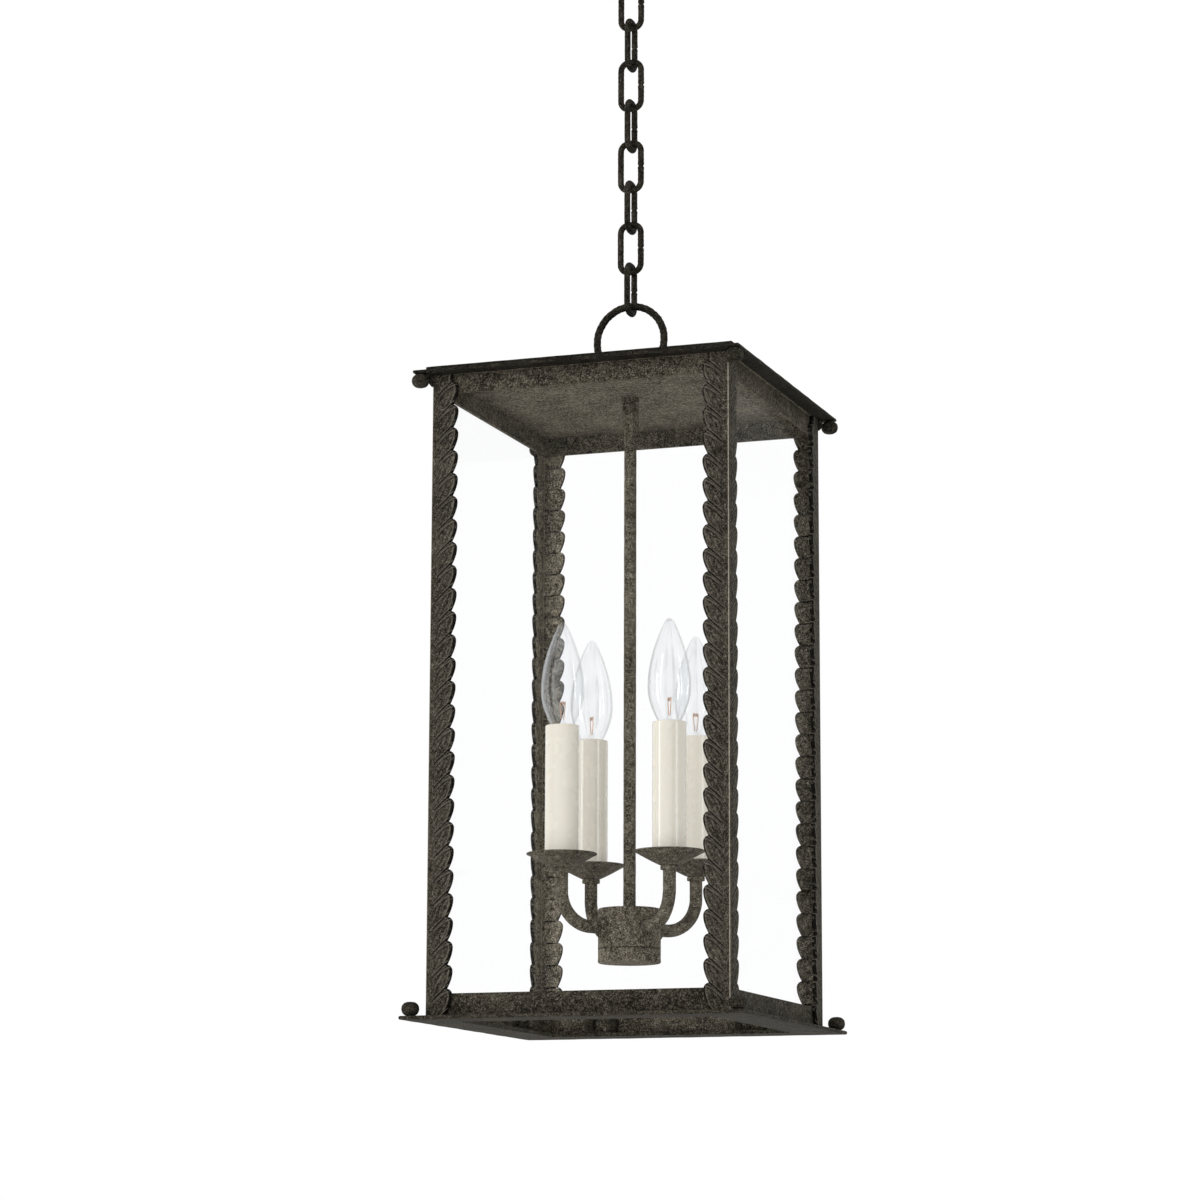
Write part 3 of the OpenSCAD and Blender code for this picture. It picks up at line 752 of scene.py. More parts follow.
def chain_iron():
    """Finish of the chain and ring, a little darker."""
    return iron_finish("chain_iron", 0.6, 0.9)


# ---------------------------------------------------------------- operators


def leaf_pitch(settings):
    """Height of one leaf of a corner post."""
    return (ROOF_UNDER - BASE_TOP - settings.first_tip) / (settings.leaf_count - LEAF_TRIM)


def leaf_rows(settings, height):
    """Heights, leaf reach and tip lift of the rows up a post.

    Within one leaf the reach follows a cosine from the lower notch to the widest
    point at 0.8 of the pitch, and a quarter ellipse over the round tip.
    """
    pitch = leaf_pitch(settings)
    peak = 0.8
    sweep_angle = np.linspace(-90, 0, 19)[:-1]
    tip_angle = np.linspace(0, 90, 10)[:-1]
    tip_rise = np.sin(np.radians(tip_angle))
    part = np.concatenate([peak * (1 + sweep_angle / 90), peak + (1 - peak) * tip_rise])
    reach = np.cos(np.radians(np.concatenate([sweep_angle, tip_angle]))) * settings.leaf_reach
    lift = np.concatenate([np.zeros(len(sweep_angle)), tip_rise * 0.07])
    starts = settings.first_tip + (np.arange(settings.leaf_count) - 1) * pitch
    z = (starts[:, None] + part[None, :] * pitch).ravel()
    r = np.tile(reach, settings.leaf_count)
    up = np.tile(lift * pitch, settings.leaf_count)
    end = settings.first_tip + (settings.leaf_count - 1) * pitch
    z = np.concatenate([[0.0], z, [end, (end + height) / 2, height]])
    return z, np.concatenate([[0.0], r, np.zeros(3)]), np.concatenate([[0.0], up, np.zeros(3)])


def leaf_relief(x, inward, settings):
    """Height of a flange's face over the flat sheet, at distance x from the corner.

    A low swell between the plain strip and the leaf edge, rounding down to the
    edge over the roll as a quarter circle does.
    """
    rise, roll = 2.5 * MM, 1.4 * MM
    fade = np.clip((x - PLAIN_STRIP) / rise, 0, 1)
    fade = fade * fade * (3 - 2 * fade)
    near = np.clip(inward / roll, 0, 1)
    rolled = np.sqrt(1 - (1 - near) ** 2)
    return settings.leaf_relief * (fade * rolled - 0.9 * (1 - rolled))


def post_shell(settings):
    """One corner post with its outer corner on the Z axis and its flanges along +X and +Y.

    Every row is a closed L-shaped section: out from the corner along both
    flanges with the embossing on the outside, round the leaf edges, and back
    along the flat inner faces.
    """
    height = ROOF_UNDER - BASE_TOP
    notch = (high("corner_post_fl").x - low("corner_post_fl").x) - settings.leaf_reach
    sheet = settings.post_sheet
    z, reach, lift = leaf_rows(settings, height)
    edge = (notch + reach)[:, None]
    share = np.concatenate([
        np.linspace(0, 0.06, 4), np.linspace(0.06, 0.88, 22)[1:], np.linspace(0.88, 1, 12)[1:],
    ])[None, :]
    x = edge * share
    rise = lift[:, None] * share ** 5
    zz = np.minimum(z[:, None] + rise, height)
    inward = edge - x
    relief = leaf_relief(x, inward, settings)
    corner_round = 0.5 * MM * np.exp(-x / (0.4 * MM))
    out = relief - corner_round
    face_a = np.stack([x, -out, zz], -1)
    face_b = np.stack([-out, x, zz], -1)
    tilt = np.array([0.25, 0.6, 0.9])[None, :]
    lip_x = edge - 0.35 * MM * np.array([-0.4, -0.5, 0.2])[None, :]
    lip_y = sheet * tilt
    zz_lip = np.minimum(z[:, None] + lift[:, None], height) * np.ones_like(lip_x)
    lip_y = lip_y * np.ones_like(lip_x)
    lip_a = np.stack([lip_x, lip_y, zz_lip], -1)
    lip_b = np.stack([lip_y, lip_x, zz_lip], -1)
    inner_x = np.concatenate([edge - 0.5 * MM, sheet + (edge - sheet) * 0.5], 1)
    inner_z = zz_lip[:, :1] * np.ones_like(inner_x)
    flat = np.full_like(inner_x, sheet)
    inner_a = np.stack([inner_x, flat, inner_z], -1)
    inner_b = np.stack([flat, inner_x, inner_z], -1)
    knee = np.stack([np.full_like(z, sheet), np.full_like(z, sheet), z], -1)[:, None, :]
    rows = np.concatenate([
        face_b[:, ::-1], face_a[:, 1:], lip_a, inner_a, knee, inner_b[:, ::-1], lip_b[:, ::-1],
    ], 1)
    rest = rows.shape[1] - 2 * x.shape[1] + 1
    away, knee_line, rim, deep = 12.0, 0.25, 0.5, 5.0
    plain = np.full((len(z), rest), away)
    plain[:, rest // 2] = knee_line
    edges = np.full((len(z), lip_a.shape[1]), rim)
    back = np.full((len(z), rest - 2 * lip_a.shape[1]), deep)
    front = np.concatenate([inward[:, ::-1], inward[:, 1:]], 1) / MM
    # behind marks the flat inner faces, which the finish gives a paler tone as painted light.
    values = {
        "across": np.concatenate([x[:, ::-1] / MM, x[:, 1:] / MM, plain], 1),
        "inward": np.concatenate([front, edges, back, edges], 1),
        "behind": np.concatenate([0 * front, 0 * edges, np.ones_like(back), 0 * edges], 1),
    }
    return Shell().add(rows, wrap_columns=True, caps=ENDS, values=values)


class LANTERN_OT_posts(bpy.types.Operator):
    """Build the four embossed corner posts"""

    bl_idname = "lantern.posts"
    bl_label = "Corner posts"

    def execute(self, context):
        shell = post_shell(sizes())
        for corner, turn in CORNERS.items():
            to_corner = Matrix.Translation((-POST_HALF, -POST_HALF, BASE_TOP))
            place = Matrix.Rotation(math.radians(turn), 4, "Z") @ to_corner
            # The inner faces get a paler tone than the outside, painted light, palest on the back-left
            # post.
            look = ("leaf_iron_pale", 3.8) if corner == "bl" else ("leaf_iron", 1.8)
            finish = embossed_finish(*look)
            make_piece("leaf_post_" + corner, shell.transformed(place), finish, LANTERN,
                       ["corner_post_" + corner], 30.0)
        return {"FINISHED"}


def slab_profile(inner, outer, bottom, top, edge):
    """Closed section of a plate between two half widths, with rounded outer edges."""
    radius = min(edge, (top - bottom) / 2.01)
    return (
        [(inner, bottom), (0.5 * (inner + outer), bottom)]
        + arc(outer - radius, bottom + radius, radius, -90, 0, 4)
        + arc(outer - radius, top - radius, radius, 0, 90, 4)
        + [(0.5 * (inner + outer), top), (inner, top)]
    )


def slab(inner, outer, bottom, top, edge, wobble, seed):
    """A plate with a square hole, its section carried round the square."""
    return Shell().add(
        square_band(slab_profile(inner, outer, bottom, top, edge), wobble, seed),
        wrap_rows=True, wrap_columns=True,
    )


class LANTERN_OT_plates(bpy.types.Operator):
    """Build the roof plates, the rails and the base plate"""

    bl_idname = "lantern.plates"
    bl_label = "Roof, rails and base"

    def execute(self, context):
        opening, glass, ripple = 103 * MM, high("pane_right").x, 0.25 * MM
        # Where a plate's two tones differ, the darker outer one is painted shade on its outer edges and the
        # paler inner one painted light on the faces within them.
        for node, outer_tone, inner_tone, inner, edge, wobble, seed in (
            ("roof_cap", 0.45, 0.9, BORE, 0.9 * MM, ripple, 1.0),
            ("roof_plate", 0.45, 2.8, BORE, 1.1 * MM, ripple, 2.0),
            ("base_plate", 0.95, 0.95, opening, 1.2 * MM, ripple, 3.0),
            ("top_frame", 1.5, 2.3, glass, 0.5 * MM, 0.0, 4.0),
            ("bottom_frame", 1.2, 2.0, glass, 0.5 * MM, 0.0, 5.0),
        ):
            lo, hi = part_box(node)
            half = POST_HALF if node == "roof_plate" else hi.x
            shell = slab(inner, hi.x - wobble, lo.z, hi.z, edge, wobble, seed)
            iron_piece(node, "forged", shell, sheet_iron(node + "_iron", outer_tone, inner_tone, half))
        return {"FINISHED"}


def ball_profile(radius, height):
    """Bun-shaped bead: an ellipse squared off a little, on a short foot ring."""
    a = np.radians(np.linspace(-62, 90, 22))
    body = [(radius * max(0.0, math.cos(t)) ** 0.72, height / 2 * (1 + math.sin(t))) for t in a]
    foot = [(AXIS, 0), (0.46 * radius, 0), (0.5 * radius, 0.03 * height)]
    return foot + body[:-1] + [(AXIS, height)]


class LANTERN_OT_balls(bpy.types.Operator):
    """Build the ball finials under the roof and on the base"""

    bl_idname = "lantern.balls"
    bl_label = "Ball finials"

    def execute(self, context):
        radius = 7 * MM
        height = 11 * MM
        for node, level, upwards in (("roof_balls", ROOF_UNDER, -1), ("base_balls", BASE_TOP, 1)):
            offset = high(node).x - radius
            profile = [(r, upwards * h) for r, h in ball_profile(radius, height)]
            shell = Shell()
            for sx in (-1, 1):
                for sy in (-1, 1):
                    grid = lathe(profile, 32, 0.12 * MM, 5 + sx, (sx * offset, sy * offset, level))
                    shell.add(grid, wrap_columns=True, flip=upwards < 0, caps=ENDS)
            iron_piece(node, "turned", shell, case_iron(), sharp=50.0)
        return {"FINISHED"}


def link_path(width, length, wire, corner, steps=9):
    """Centre line of a link in the XZ plane: a rectangle with quarter-circle corners."""
    x, z = width / 2 - wire / 2 - corner, length / 2 - wire / 2 - corner
    points = []
    for cx, cz, start in ((x, -z, -90), (x, z, 0), (-x, z, 90), (-x, -z, 180)):
        points += arc(cx, cz, corner, start, start + 90, steps)
    points = np.array(points)
    following = np.roll(points, -1, 0)
    gap = np.linalg.norm(following - points, axis=1)
    spacing = 1.5 * MM
    dense = []
    for point, other, distance in zip(points, following, gap):
        count = max(1, round(distance / spacing))
        dense.append(point + (other - point) * np.linspace(0, 1, count, endpoint=False)[:, None])
    dense = np.vstack(dense)
    return np.stack([dense[:, 0], np.zeros(len(dense)), dense[:, 1]], -1)


def bar_link(centre, width, length, wire, corner, across, wobble):
    """A link of hammered bar, with a narrow weld groove half way up one side.

    The wobble fades to nothing at both ends, where the next link bears.
    """
    path = link_path(width, length, wire, corner)
    weld = np.hypot(path[:, 0] - (width - wire) / 2, path[:, 2])
    radius = wire / 2 - 0.55 * MM * np.exp(-(weld / (0.5 * MM)) ** 2)
    radius = radius + 0.25 * MM * np.exp(-((weld - 1.8 * MM) / (0.9 * MM)) ** 2)
    ends = np.clip(1 - (np.abs(path[:, 2]) / (length / 2 - wire)) ** 6, 0, 1)
    grid = hoop(path, radius, 0.0)
    grid = grid + (hoop(path, radius, wobble) - grid) * ends[:, None, None]
    if across:
        grid = np.stack([-grid[..., 1], grid[..., 0], grid[..., 2]], -1)
    return Shell().add(grid + np.array(centre), wrap_rows=True, wrap_columns=True)


class LANTERN_OT_chain(bpy.types.Operator):
    """Build the chain links"""

    bl_idname = "lantern.chain"
    bl_label = "Chain"

    def execute(self, context):
        wire = sizes().chain_wire
        links = sorted(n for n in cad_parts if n.startswith("chain_link_"))
        for node in links:
            lo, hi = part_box(node)
            across = (hi.y - lo.y) > (hi.x - lo.x)
            width = max(hi.y - lo.y, hi.x - lo.x)
            shell = bar_link(middle(node), width, hi.z - lo.z, wire, 7 * MM, across, sizes().hammer)
            iron_piece(node, "forged", shell, chain_iron(), node.replace("chain_", ""), 60.0)
        return {"FINISHED"}


def ring_shell(centre, outer, wire, wobble, count=96):
    """A hammered ring: a circle of bar in the XZ plane."""
    a = np.linspace(0, 2 * math.pi, count, endpoint=False)
    r = outer - wire / 2
    path = np.stack([r * np.cos(a), np.zeros(count), r * np.sin(a)], -1)
    grid = hoop(path, wire / 2, wobble, 14 * MM)
    return Shell().add(grid + np.array(centre), wrap_rows=True, wrap_columns=True)


class LANTERN_OT_ring(bpy.types.Operator):
    """Build the big ring and its boss on the roof"""

    bl_idname = "lantern.ring"
    bl_label = "Roof ring"

    def execute(self, context):
        lo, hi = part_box("roof_ring")
        wire = sizes().ring_wire
        outer = (hi.x - lo.x) / 2
        shell = ring_shell((0, 0, hi.z - outer), outer, wire, 2 * sizes().hammer)
        boss_top, boss, edge = high("stem").z + 4 * MM, 9 * MM, 1.5 * MM
        profile = [(AXIS, lo.z), (boss, lo.z)]
        profile += arc(boss - edge, boss_top - edge, edge, 0, 90, 5) + [(AXIS, boss_top)]
        shell.join(turned(profile, 48, 0.1 * MM, solid=True))
        iron_piece("roof_ring", "forged", shell, chain_iron(), sharp=50.0)
        return {"FINISHED"}


class LANTERN_OT_canopy(bpy.types.Operator):
    """Build the ceiling canopy, its nut and its loop"""

    bl_idname = "lantern.canopy"
    bl_label = "Ceiling fitting"

    def execute(self, context):
        iron = case_iron()
        lo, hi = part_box("canopy")
        radius, depth, wall, edge = hi.x, lo.z, SHEET_WALL, 9 * MM
        outside = [(BORE, depth)] + arc(radius - edge, depth + edge, edge, -90, 0, 12)
        inside = arc(radius - edge, depth + edge, edge - wall, 0, -90, 12) + [(BORE, depth + wall)]
        profile = outside + [(radius, hi.z), (radius - wall, hi.z)] + inside
        iron_piece("canopy", "spun", turned(profile, 96, 0.1 * MM, 9), iron, CEILING)
        lo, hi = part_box("canopy_nut")
        radius, under, over = hi.x, 2.5 * MM, 1.5 * MM
        profile = [(BORE, lo.z)] + arc(radius - under, lo.z + under, under, -90, 0, 6)
        profile += arc(radius - over, hi.z - over, over, 0, 90, 5) + [(BORE, hi.z)]
        iron_piece("canopy_nut", "turned", turned(profile, 64, 0.05 * MM), iron, CEILING)
        lo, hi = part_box("canopy_loop")
        width, bar, corner = hi.y - lo.y, 5 * MM, 10 * MM
        centre = (0, 0, lo.z + width / 2)
        shell = bar_link(centre, width, width, bar, corner, True, sizes().hammer * 0.5)
        neck, length, edge = 7.5 * MM, 8 * MM, 1 * MM
        profile = [(AXIS, hi.z - length)] + arc(neck - edge, hi.z - length + edge, edge, -90, 0, 4)
        profile += [(neck, hi.z), (AXIS, hi.z)]
        shell.join(turned(profile, 40, solid=True))
        iron_piece("canopy_loop", "forged", shell, iron, CEILING, 50.0)
        return {"FINISHED"}


class LANTERN_OT_cluster(bpy.types.Operator):
    """Build the stem, hub, arms and drip pans"""

    bl_idname = "lantern.cluster"
    bl_label = "Candle cluster"

    def execute(self, context):
        iron = cluster_iron()
        lo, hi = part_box("stem")
        radius = hi.x
        profile = [(AXIS, lo.z), (radius, lo.z)]
        profile += [(radius, z) for z in np.linspace(lo.z, hi.z, 60)[1:]] + [(AXIS, hi.z)]
        iron_piece("stem", "drawn", turned(profile, 32, 0.08 * MM, 5, solid=True), iron)
        lo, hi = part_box("stem_collar")
        radius, edge = hi.x, 0.8 * MM
        bore = radius - 2 * edge
        profile = [(bore, lo.z)] + arc(radius - edge, lo.z + edge, edge, -90, 0, 4)
        profile += [(radius, hi.z), (bore, hi.z)]
        iron_piece("stem_collar", "turned", turned(profile, 40, 0.05 * MM), iron)
        self.hub()
        self.arms(iron)
        self.pans(iron)
        return {"FINISHED"}

    def hub(self):
        """Hub cup with its boss, and the cap below it with a fine seam between them."""
        lo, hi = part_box("hub_body")
        radius, seam, boss_top, bottom = hi.x, lo.z, hi.z, low("hub_cap").z
        deck, bore, lip = boss_top - 1.5 * MM, 5.1 * MM, 2 * MM
        fine, shoulder, foot, boss = 0.4 * MM, 1.4 * MM, 1.2 * MM, 7.5 * MM
        profile = [(bore, seam + lip), (radius - lip, seam + lip), (radius - lip, seam)]
        profile += arc(radius - fine, seam + fine, fine, -90, 0, 3)
        profile += [(radius, z) for z in np.linspace(seam + lip, deck - 3 * MM, 12)]
        profile += arc(radius - shoulder, deck - shoulder, shoulder, 0, 90, 6) + [(8.4 * MM, deck)]
        profile += arc(boss - 0.5 * MM, boss_top - 0.5 * MM, 0.5 * MM, 0, 90, 4) + [(bore, boss_top)]
        iron_piece("hub_body", "cast", turned(profile, 96, 0.1 * MM, 7), hub_iron())
        profile = [(AXIS, bottom)] + arc(radius - foot, bottom + foot, foot, -90, 0, 5)
        profile += [(radius, z) for z in np.linspace(bottom + lip, seam - 1 * MM, 6)]
        profile += arc(radius - fine, seam - fine, fine, 0, 90, 3) + [(radius - lip, seam)]
        profile += [(radius - lip - fine, seam + 1.5 * MM), (AXIS, seam + 1.5 * MM)]
        iron_piece("hub_cap", "cast", turned(profile, 96, 0.1 * MM, 8, solid=True), hub_iron())

    def arms(self, iron):
        """Bent tubes from the hub to the pans, each with a round collar at the hub."""
        radius, bend, start = 5.15 * MM, 27 * MM, 20 * MM
        top, hub_radius = high("arm_1").z, high("hub_body").x
        flange, face, back, edge = 8 * MM, 3.3 * MM, -2.2 * MM, 1.1 * MM
        collar = [(radius, back), (7.4 * MM, back), (flange, back + 1 * MM), (flange, 1.0 * MM)]
        collar += arc(flange - edge, face - 1.2 * MM, edge, 0, 90, 5) + [(radius, face)]
        collars = Shell()
        for number, spot in enumerate(CLUSTER, 1):
            reach = math.hypot(spot.x, spot.y)
            flat = [(x, ARM_LEVEL) for x in np.linspace(start, reach - bend, 9)]
            curve = arc(reach - bend, ARM_LEVEL + bend, bend, -90, 0, 26)
            rise = [(reach, z) for z in np.linspace(ARM_LEVEL + bend, top, 10)[1:]]
            line = np.array(flat[:-1] + curve + rise)
            path = np.stack([line[:, 0], np.zeros(len(line)), line[:, 1]], -1)
            swing = Matrix.Rotation(math.atan2(spot.y, spot.x), 4, "Z")
            tube = rod(path, radius, 28, 0.09 * MM).transformed(swing)
            iron_piece("arm_%d" % number, "bent", tube, iron, sharp=50.0)
            lay = Matrix.Translation((hub_radius, 0, ARM_LEVEL)) @ Matrix.Rotation(math.pi / 2, 4, "Y")
            collars.join(turned(collar, 40, 0.08 * MM, 5).transformed(swing @ lay))
        iron_piece("arm_collars", "turned", collars, iron)

    def pans(self, iron):
        """Shallow dishes with a turned neck and a thin rolled rim."""
        lo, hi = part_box("drip_pan_1")
        rim, top, foot, seat = (hi.x - lo.x) / 2, hi.z, lo.z, SOCKET_FOOT
        neck, bead = 6.6 * MM, 0.7 * MM
        outside = [(BORE, foot)] + arc(neck, foot + 0.6 * MM, 0.6 * MM, -90, 0, 4)
        outside += arc(neck, foot + 2.4 * MM, 0.65 * MM, 0, 90, 4)
        run, rise = rim - 7.4 * MM, top - foot - 4.6 * MM
        cone = [(6.4 * MM + run * share, foot + 3.2 * MM + rise * share ** 1.12)
                for share in np.linspace(0, 1, 14)]
        lip = arc(rim - bead, top - bead, bead, -60, 120, 8)
        inside = [(rim - 3 * MM, top - 1.1 * MM), (rim - 8 * MM, seat), (BORE, seat)]
        for number, spot in enumerate(CLUSTER, 1):
            dish = turned(outside + cone + lip + inside, 80, 0.08 * MM, 6 + number % 3, (spot.x, spot.y, 0))
            iron_piece("drip_pan_%d" % number, "spun", dish, iron)


def bulb_radius(z, length, widest):
    """Torpedo outline of a bulb.

    A sine from the metal base to the belly, a power of a cosine towards a point
    a little past the tip, and an ellipse over the rounded nose.
    """
    foot, belly, nose = 5.9 * MM, 33.6 * MM, 3.4 * MM
    point = length + 3 * MM
    lower = foot + (widest - foot) * np.sin(np.clip(z / belly, 0, 1) * math.pi / 2)
    upper = widest * np.cos(np.clip((z - belly) / (point - belly), 0, 1) * math.pi / 2) ** 0.84
    rounded = np.sqrt(1 - np.clip((z - length + nose) / nose, 0, 1) ** 2)
    return np.where(z < belly, lower, upper * rounded)


class LANTERN_OT_lights(bpy.types.Operator):
    """Build the candle sleeves, the bulbs and what is inside them"""

    bl_idname = "lantern.lights"
    bl_label = "Candles and bulbs"

    def execute(self, context):
        sleeve, glass = self.sleeve_profile(), self.bulb_profile()
        for number, spot in enumerate(CLUSTER, 1):
            centre = (spot.x, spot.y, 0)
            node = "candle_sleeve_%d" % number
            make_piece(node + "_smooth", turned(sleeve, 72, centre=centre), ivory_finish(), LANTERN,
                       [node])
            node = "bulb_glass_%d" % number
            make_piece(node + "_blown", turned(glass, 56, centre=centre, solid=True), bulb_finish(),
                       LANTERN, [node])
        self.filaments()
        for node, name, kind, metallic, rough in (
            ("bulb_bases", "lamp_brass", "lamp_brass", 1.0, 0.3),
            ("sockets", "socket_black", "black", 0.0, 0.5),
            ("wiring", "wire_cover", "black", 0.0, 0.55),
            ("hub_nut", "zinc_plate", "zinc", 1.0, 0.35),
        ):
            set_material(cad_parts[node], plain_finish(name, kind, metallic, rough))
        return {"FINISHED"}

    def sleeve_profile(self):
        """Closed section of a candle sleeve, with a rounded top edge."""
        lo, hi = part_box("candle_sleeve_1")
        radius, half_wall = (hi.x - lo.x) / 2, SHEET_WALL / 2
        side = [(radius, z) for z in np.linspace(lo.z, hi.z - 1 * MM, 8)]
        brim = arc(radius - half_wall, hi.z - half_wall, half_wall, 0, 180, 7)
        return side + brim + [(radius - SHEET_WALL, lo.z)]

    def bulb_profile(self):
        """Section of the bulb's glass: down its inside from the tip, then up its outside."""
        lo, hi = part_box("bulb_glass_1")
        length, widest, skin = hi.z - BULB_FOOT, (hi.x - lo.x) / 2, sizes().bulb_wall
        z = length * (1 - (1 - np.linspace(0, 1, 64)) ** 1.8)
        outer = np.stack([bulb_radius(z, length, widest), z + BULB_FOOT], -1)
        outer[-1, 0] = 0.05 * MM
        inner = outer[::-1] - np.array([skin, 0.0])
        top = BULB_FOOT + length - 1.6 * skin
        inner = inner[(inner[:, 0] > 0.4 * MM) & (inner[:, 1] < top - 0.2 * MM)]
        return np.vstack([[0.2 * MM, top], inner, outer])

    def filaments(self):
        """Glass mounts, their supports, and a zigzag coil in each bulb."""
        mounts, wires = Shell(), Shell()
        profile = [(0.2, 0), (4.2, 0), (3.6, 2), (2.2, 5), (1.8, 11), (2.4, 13), (2.0, 14.2), (0.2, 14.6)]
        profile = [(radius * MM, z * MM) for radius, z in profile]
        supports = [
            [(side * x * MM, 0, z * MM) for x, z in ((0.9, 11), (1.6, 15), (2.2, 20), (2.4, 25))]
            for side in (-1, 1)
        ]
        t = np.linspace(0, 1, 260)
        width, level, zigzag, winding, turns = 4.8 * MM, 23.0 * MM, 2.4 * MM, 0.55 * MM, 22
        spin = t * 2 * turns * math.pi
        coil = np.stack([
            (t - 0.5) * width, winding * np.cos(spin),
            level + zigzag * np.abs(((t * 3) % 1) - 0.5) * 2 + winding * np.sin(spin),
        ], -1)
        for spot in CLUSTER:
            foot = (spot.x, spot.y, BULB_FOOT)
            mounts.join(turned(profile, 20, centre=foot, solid=True))
            turn = Matrix.Translation(foot) @ Matrix.Rotation(math.atan2(spot.y, spot.x), 4, "Z")
            for line in supports:
                wires.join(rod(line, 0.35 * MM, 8).transformed(turn))
            wires.join(rod(coil, 0.12 * MM, 5).transformed(turn))
        make_piece("bulb_mounts", mounts, bulb_finish(), LANTERN)
        make_piece("bulb_filament_wires", wires, plain_finish("filament", "copper", 0.8, 0.35), LANTERN,
                   ["bulb_filaments"])


class LANTERN_OT_fittings(bpy.types.Operator):
    """Finish the panes and the small fittings that the frame already shapes"""

    bl_idname = "lantern.fittings"
    bl_label = "Panes and fittings"

    def execute(self, context):
        for node in ("pane_front", "pane_right", "pane_back", "pane_left"):
            set_material(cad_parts[node], pane_finish())
        iron, zinc = case_iron(), plain_finish("zinc_plate", "zinc", 1.0, 0.35)
        for node, body, material, slot, bevel in (
            ("pane_clips", LANTERN, iron, "aged_iron", 0.25 * MM),
            ("clip_screws", LANTERN, iron, "aged_iron", 0.3 * MM),
            ("roof_tabs", LANTERN, iron, "aged_iron", 0.4 * MM),
            ("mounting_strap", CEILING, zinc, "zinc_plate", 0.3 * MM),
            ("nipple_locknut", CEILING, zinc, "zinc_plate", 0.4 * MM),
            ("ceiling_nipple", CEILING, zinc, "zinc_plate", 0.2 * MM),
        ):
            piece = merged_copy(node, bevel)
            set_material(piece, material)
            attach(piece, body)
            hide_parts(node)
        return {"FINISHED"}


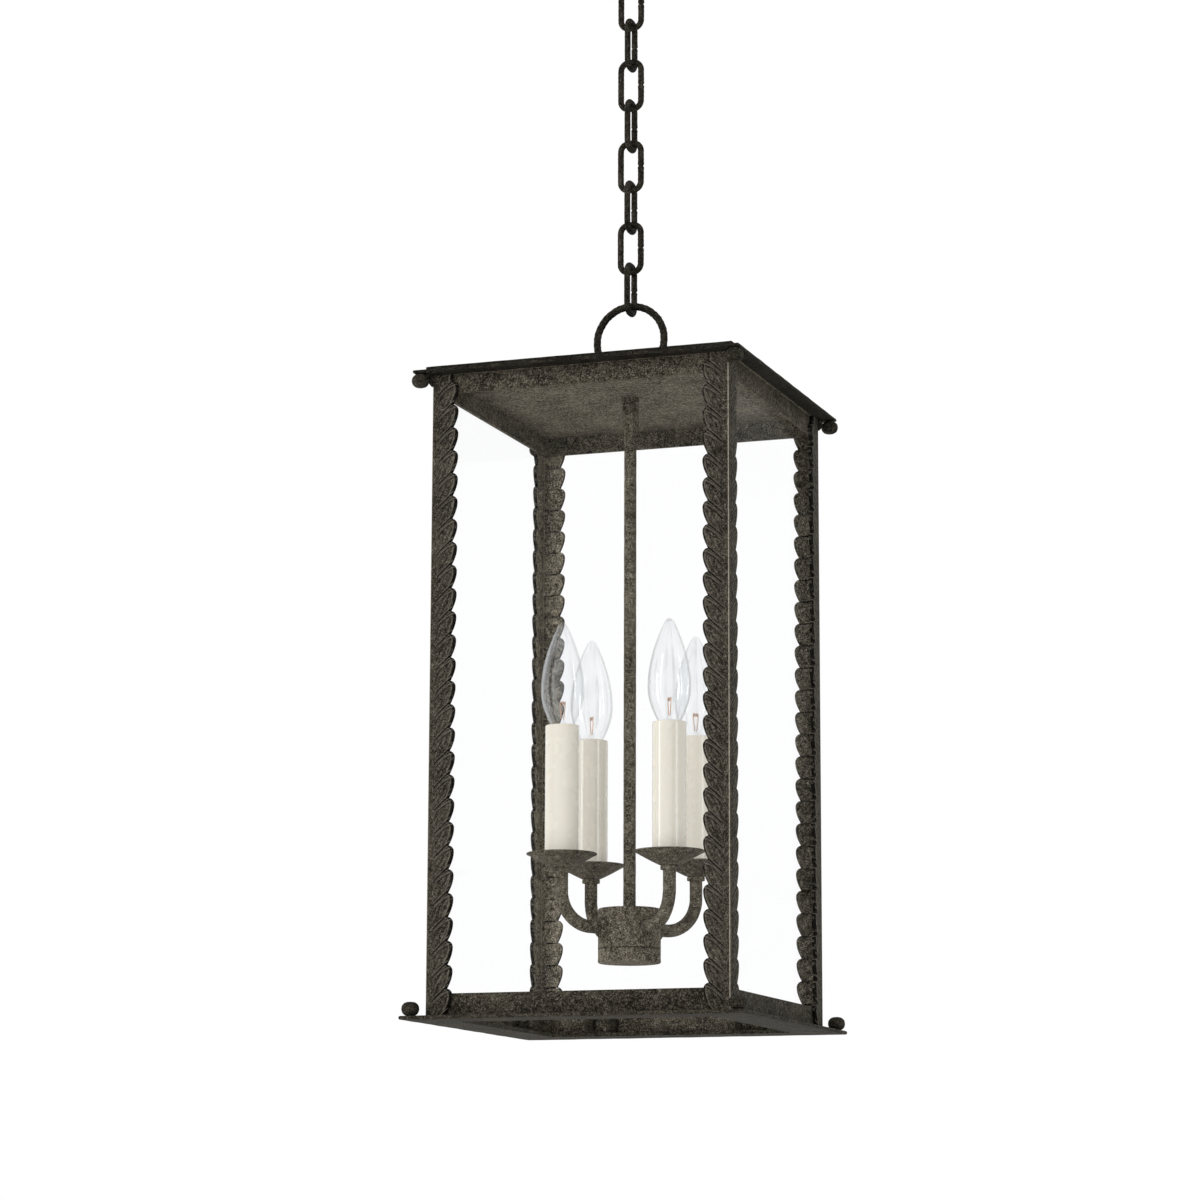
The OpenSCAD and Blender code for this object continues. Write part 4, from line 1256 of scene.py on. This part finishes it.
class LANTERN_OT_stage(bpy.types.Operator):
    """Set the floor, the light and the camera"""

    bl_idname = "lantern.stage"
    bl_label = "Stage"

    def execute(self, context):
        scene = context.scene
        scene.view_settings.view_transform = "Standard"
        self.floor()
        self.sky(scene)
        for name, spot, width, length, power, mirrored in (
            ("key", (-1.3, -2.4, -0.2), 1.2, 1.2, 24.0, False),
            ("fill", (-2.3, 0.6, -0.9), 1.2, 1.2, 10.0, False),
            ("left_strip", (-1.95, -1.55, -0.7), 0.30, 1.6, 11.0, True),
            ("right_strip", (2.3, -0.9, -0.7), 0.30, 1.6, 7.0, True),
        ):
            self.soft_light(name, spot, width, length, power, mirrored)
        self.camera(scene)
        return {"FINISHED"}

    def floor(self):
        """A wide pale floor below the lantern."""
        half, level = 8.0, -1.45
        corners = ((-half, -half), (half, -half), (half, half), (-half, half))
        mesh = bpy.data.meshes.new("floor")
        mesh.from_pydata([(x, y, level) for x, y in corners], [], [(0, 1, 2, 3)])
        shade = Shade("stage_floor")
        soft = shade.noise(shade.place(), 1.5, 2.0)
        tone = colours().paper_white
        colour = shade.mix(soft, tone, scaled(tone, 1.03))
        mesh.materials.append(shade.finish(shade.principled(Base_Color=colour, Roughness=0.9)))
        floor = bpy.data.objects.new("floor", mesh)
        bpy.context.scene.collection.objects.link(floor)

    def sky(self, scene):
        """A plain white surround that lights the lantern less than it shows."""
        world = bpy.data.worlds.new("studio")
        world.use_nodes = True
        tree = world.node_tree
        background = tree.nodes["Background"]
        background.inputs["Color"].default_value = (1.0, 1.0, 1.0, 1.0)
        seen = tree.nodes.new("ShaderNodeLightPath").outputs["Is Camera Ray"]
        strength = tree.nodes.new("ShaderNodeMapRange")
        strength.inputs["To Min"].default_value = sizes().surround_light
        strength.inputs["To Max"].default_value = 1.0
        tree.links.new(seen, strength.inputs["Value"])
        tree.links.new(strength.outputs["Result"], background.inputs["Strength"])
        scene.world = world
        scene.cycles.transparent_max_bounces = 32

    def soft_light(self, name, spot, width, length, power, mirrored):
        """A soft light that faces the lantern, and is either mirrored in it or lights it."""
        lamp = bpy.data.lights.new(name, "AREA")
        lamp.shape = "RECTANGLE"
        lamp.size, lamp.size_y = width, length
        lamp.energy = power
        holder = bpy.data.objects.new(name, lamp)
        holder.location = spot
        aim = Vector((0, 0, (BASE_TOP + ROOF_UNDER) / 2)) - Vector(spot)
        holder.rotation_euler = aim.to_track_quat("-Z", "Y").to_euler()
        holder.visible_camera = False
        holder.visible_diffuse, holder.visible_glossy = not mirrored, mirrored
        bpy.context.scene.collection.objects.link(holder)

    def camera(self, scene):
        """A long lens that looks slightly up at the lantern from front right."""
        settings = sizes()
        around, pitch, away = settings.camera_azimuth, settings.camera_pitch, settings.camera_distance
        heading, roll = around + CAMERA_YAW, CAMERA_ROLL
        forward = Vector((
            -math.sin(heading) * math.cos(pitch), math.cos(heading) * math.cos(pitch), math.sin(pitch),
        ))
        level = Vector((math.cos(heading), math.sin(heading), 0))
        upward = level.cross(forward)
        right = level * math.cos(roll) + upward * math.sin(roll)
        up = upward * math.cos(roll) - level * math.sin(roll)
        lens = bpy.data.cameras.new("camera")
        lens.lens, lens.sensor_width, lens.clip_end = LENS, SENSOR, 50.0
        camera = bpy.data.objects.new("camera", lens)
        spot = Vector((away * math.sin(around), -away * math.cos(around), BASE_TOP - settings.camera_drop))
        turn = Matrix((right, up, -forward)).transposed()
        camera.matrix_world = Matrix.Translation(spot) @ turn.to_4x4()
        scene.collection.objects.link(camera)
        scene.camera = camera


class LANTERN_PT_panel(bpy.types.Panel):
    """Sidebar panel of the lantern's build steps"""

    bl_idname = "LANTERN_PT_panel"
    bl_label = "Hanging lantern"
    bl_space_type = "VIEW_3D"
    bl_region_type = "UI"
    bl_category = "Lantern"

    def draw(self, context):
        layout = self.layout
        for operator in STEPS:
            layout.operator(operator.bl_idname)
        for group in (context.scene.lantern_sizes, context.scene.lantern_colours):
            box = layout.box()
            for name in group.__annotations__:
                box.prop(group, name)


STEPS = (
    LANTERN_OT_stage, LANTERN_OT_posts, LANTERN_OT_plates, LANTERN_OT_balls, LANTERN_OT_ring,
    LANTERN_OT_chain, LANTERN_OT_canopy, LANTERN_OT_cluster, LANTERN_OT_lights, LANTERN_OT_fittings,
)
CLASSES = (LanternSizes, LanternColours, *STEPS, LANTERN_PT_panel)


def register():
    """Registers the classes and the scene's settings."""
    for each in CLASSES:
        bpy.utils.register_class(each)
    bpy.types.Scene.lantern_sizes = bpy.props.PointerProperty(type=LanternSizes)
    bpy.types.Scene.lantern_colours = bpy.props.PointerProperty(type=LanternColours)


def unregister():
    """Removes what register added."""
    del bpy.types.Scene.lantern_sizes
    del bpy.types.Scene.lantern_colours
    for each in reversed(CLASSES):
        bpy.utils.unregister_class(each)


def main():
    """Builds the lantern step by step."""
    register()
    for step in STEPS:
        group, name = step.bl_idname.split(".")
        getattr(getattr(bpy.ops, group), name)()


if __name__ == "__main__":
    main()
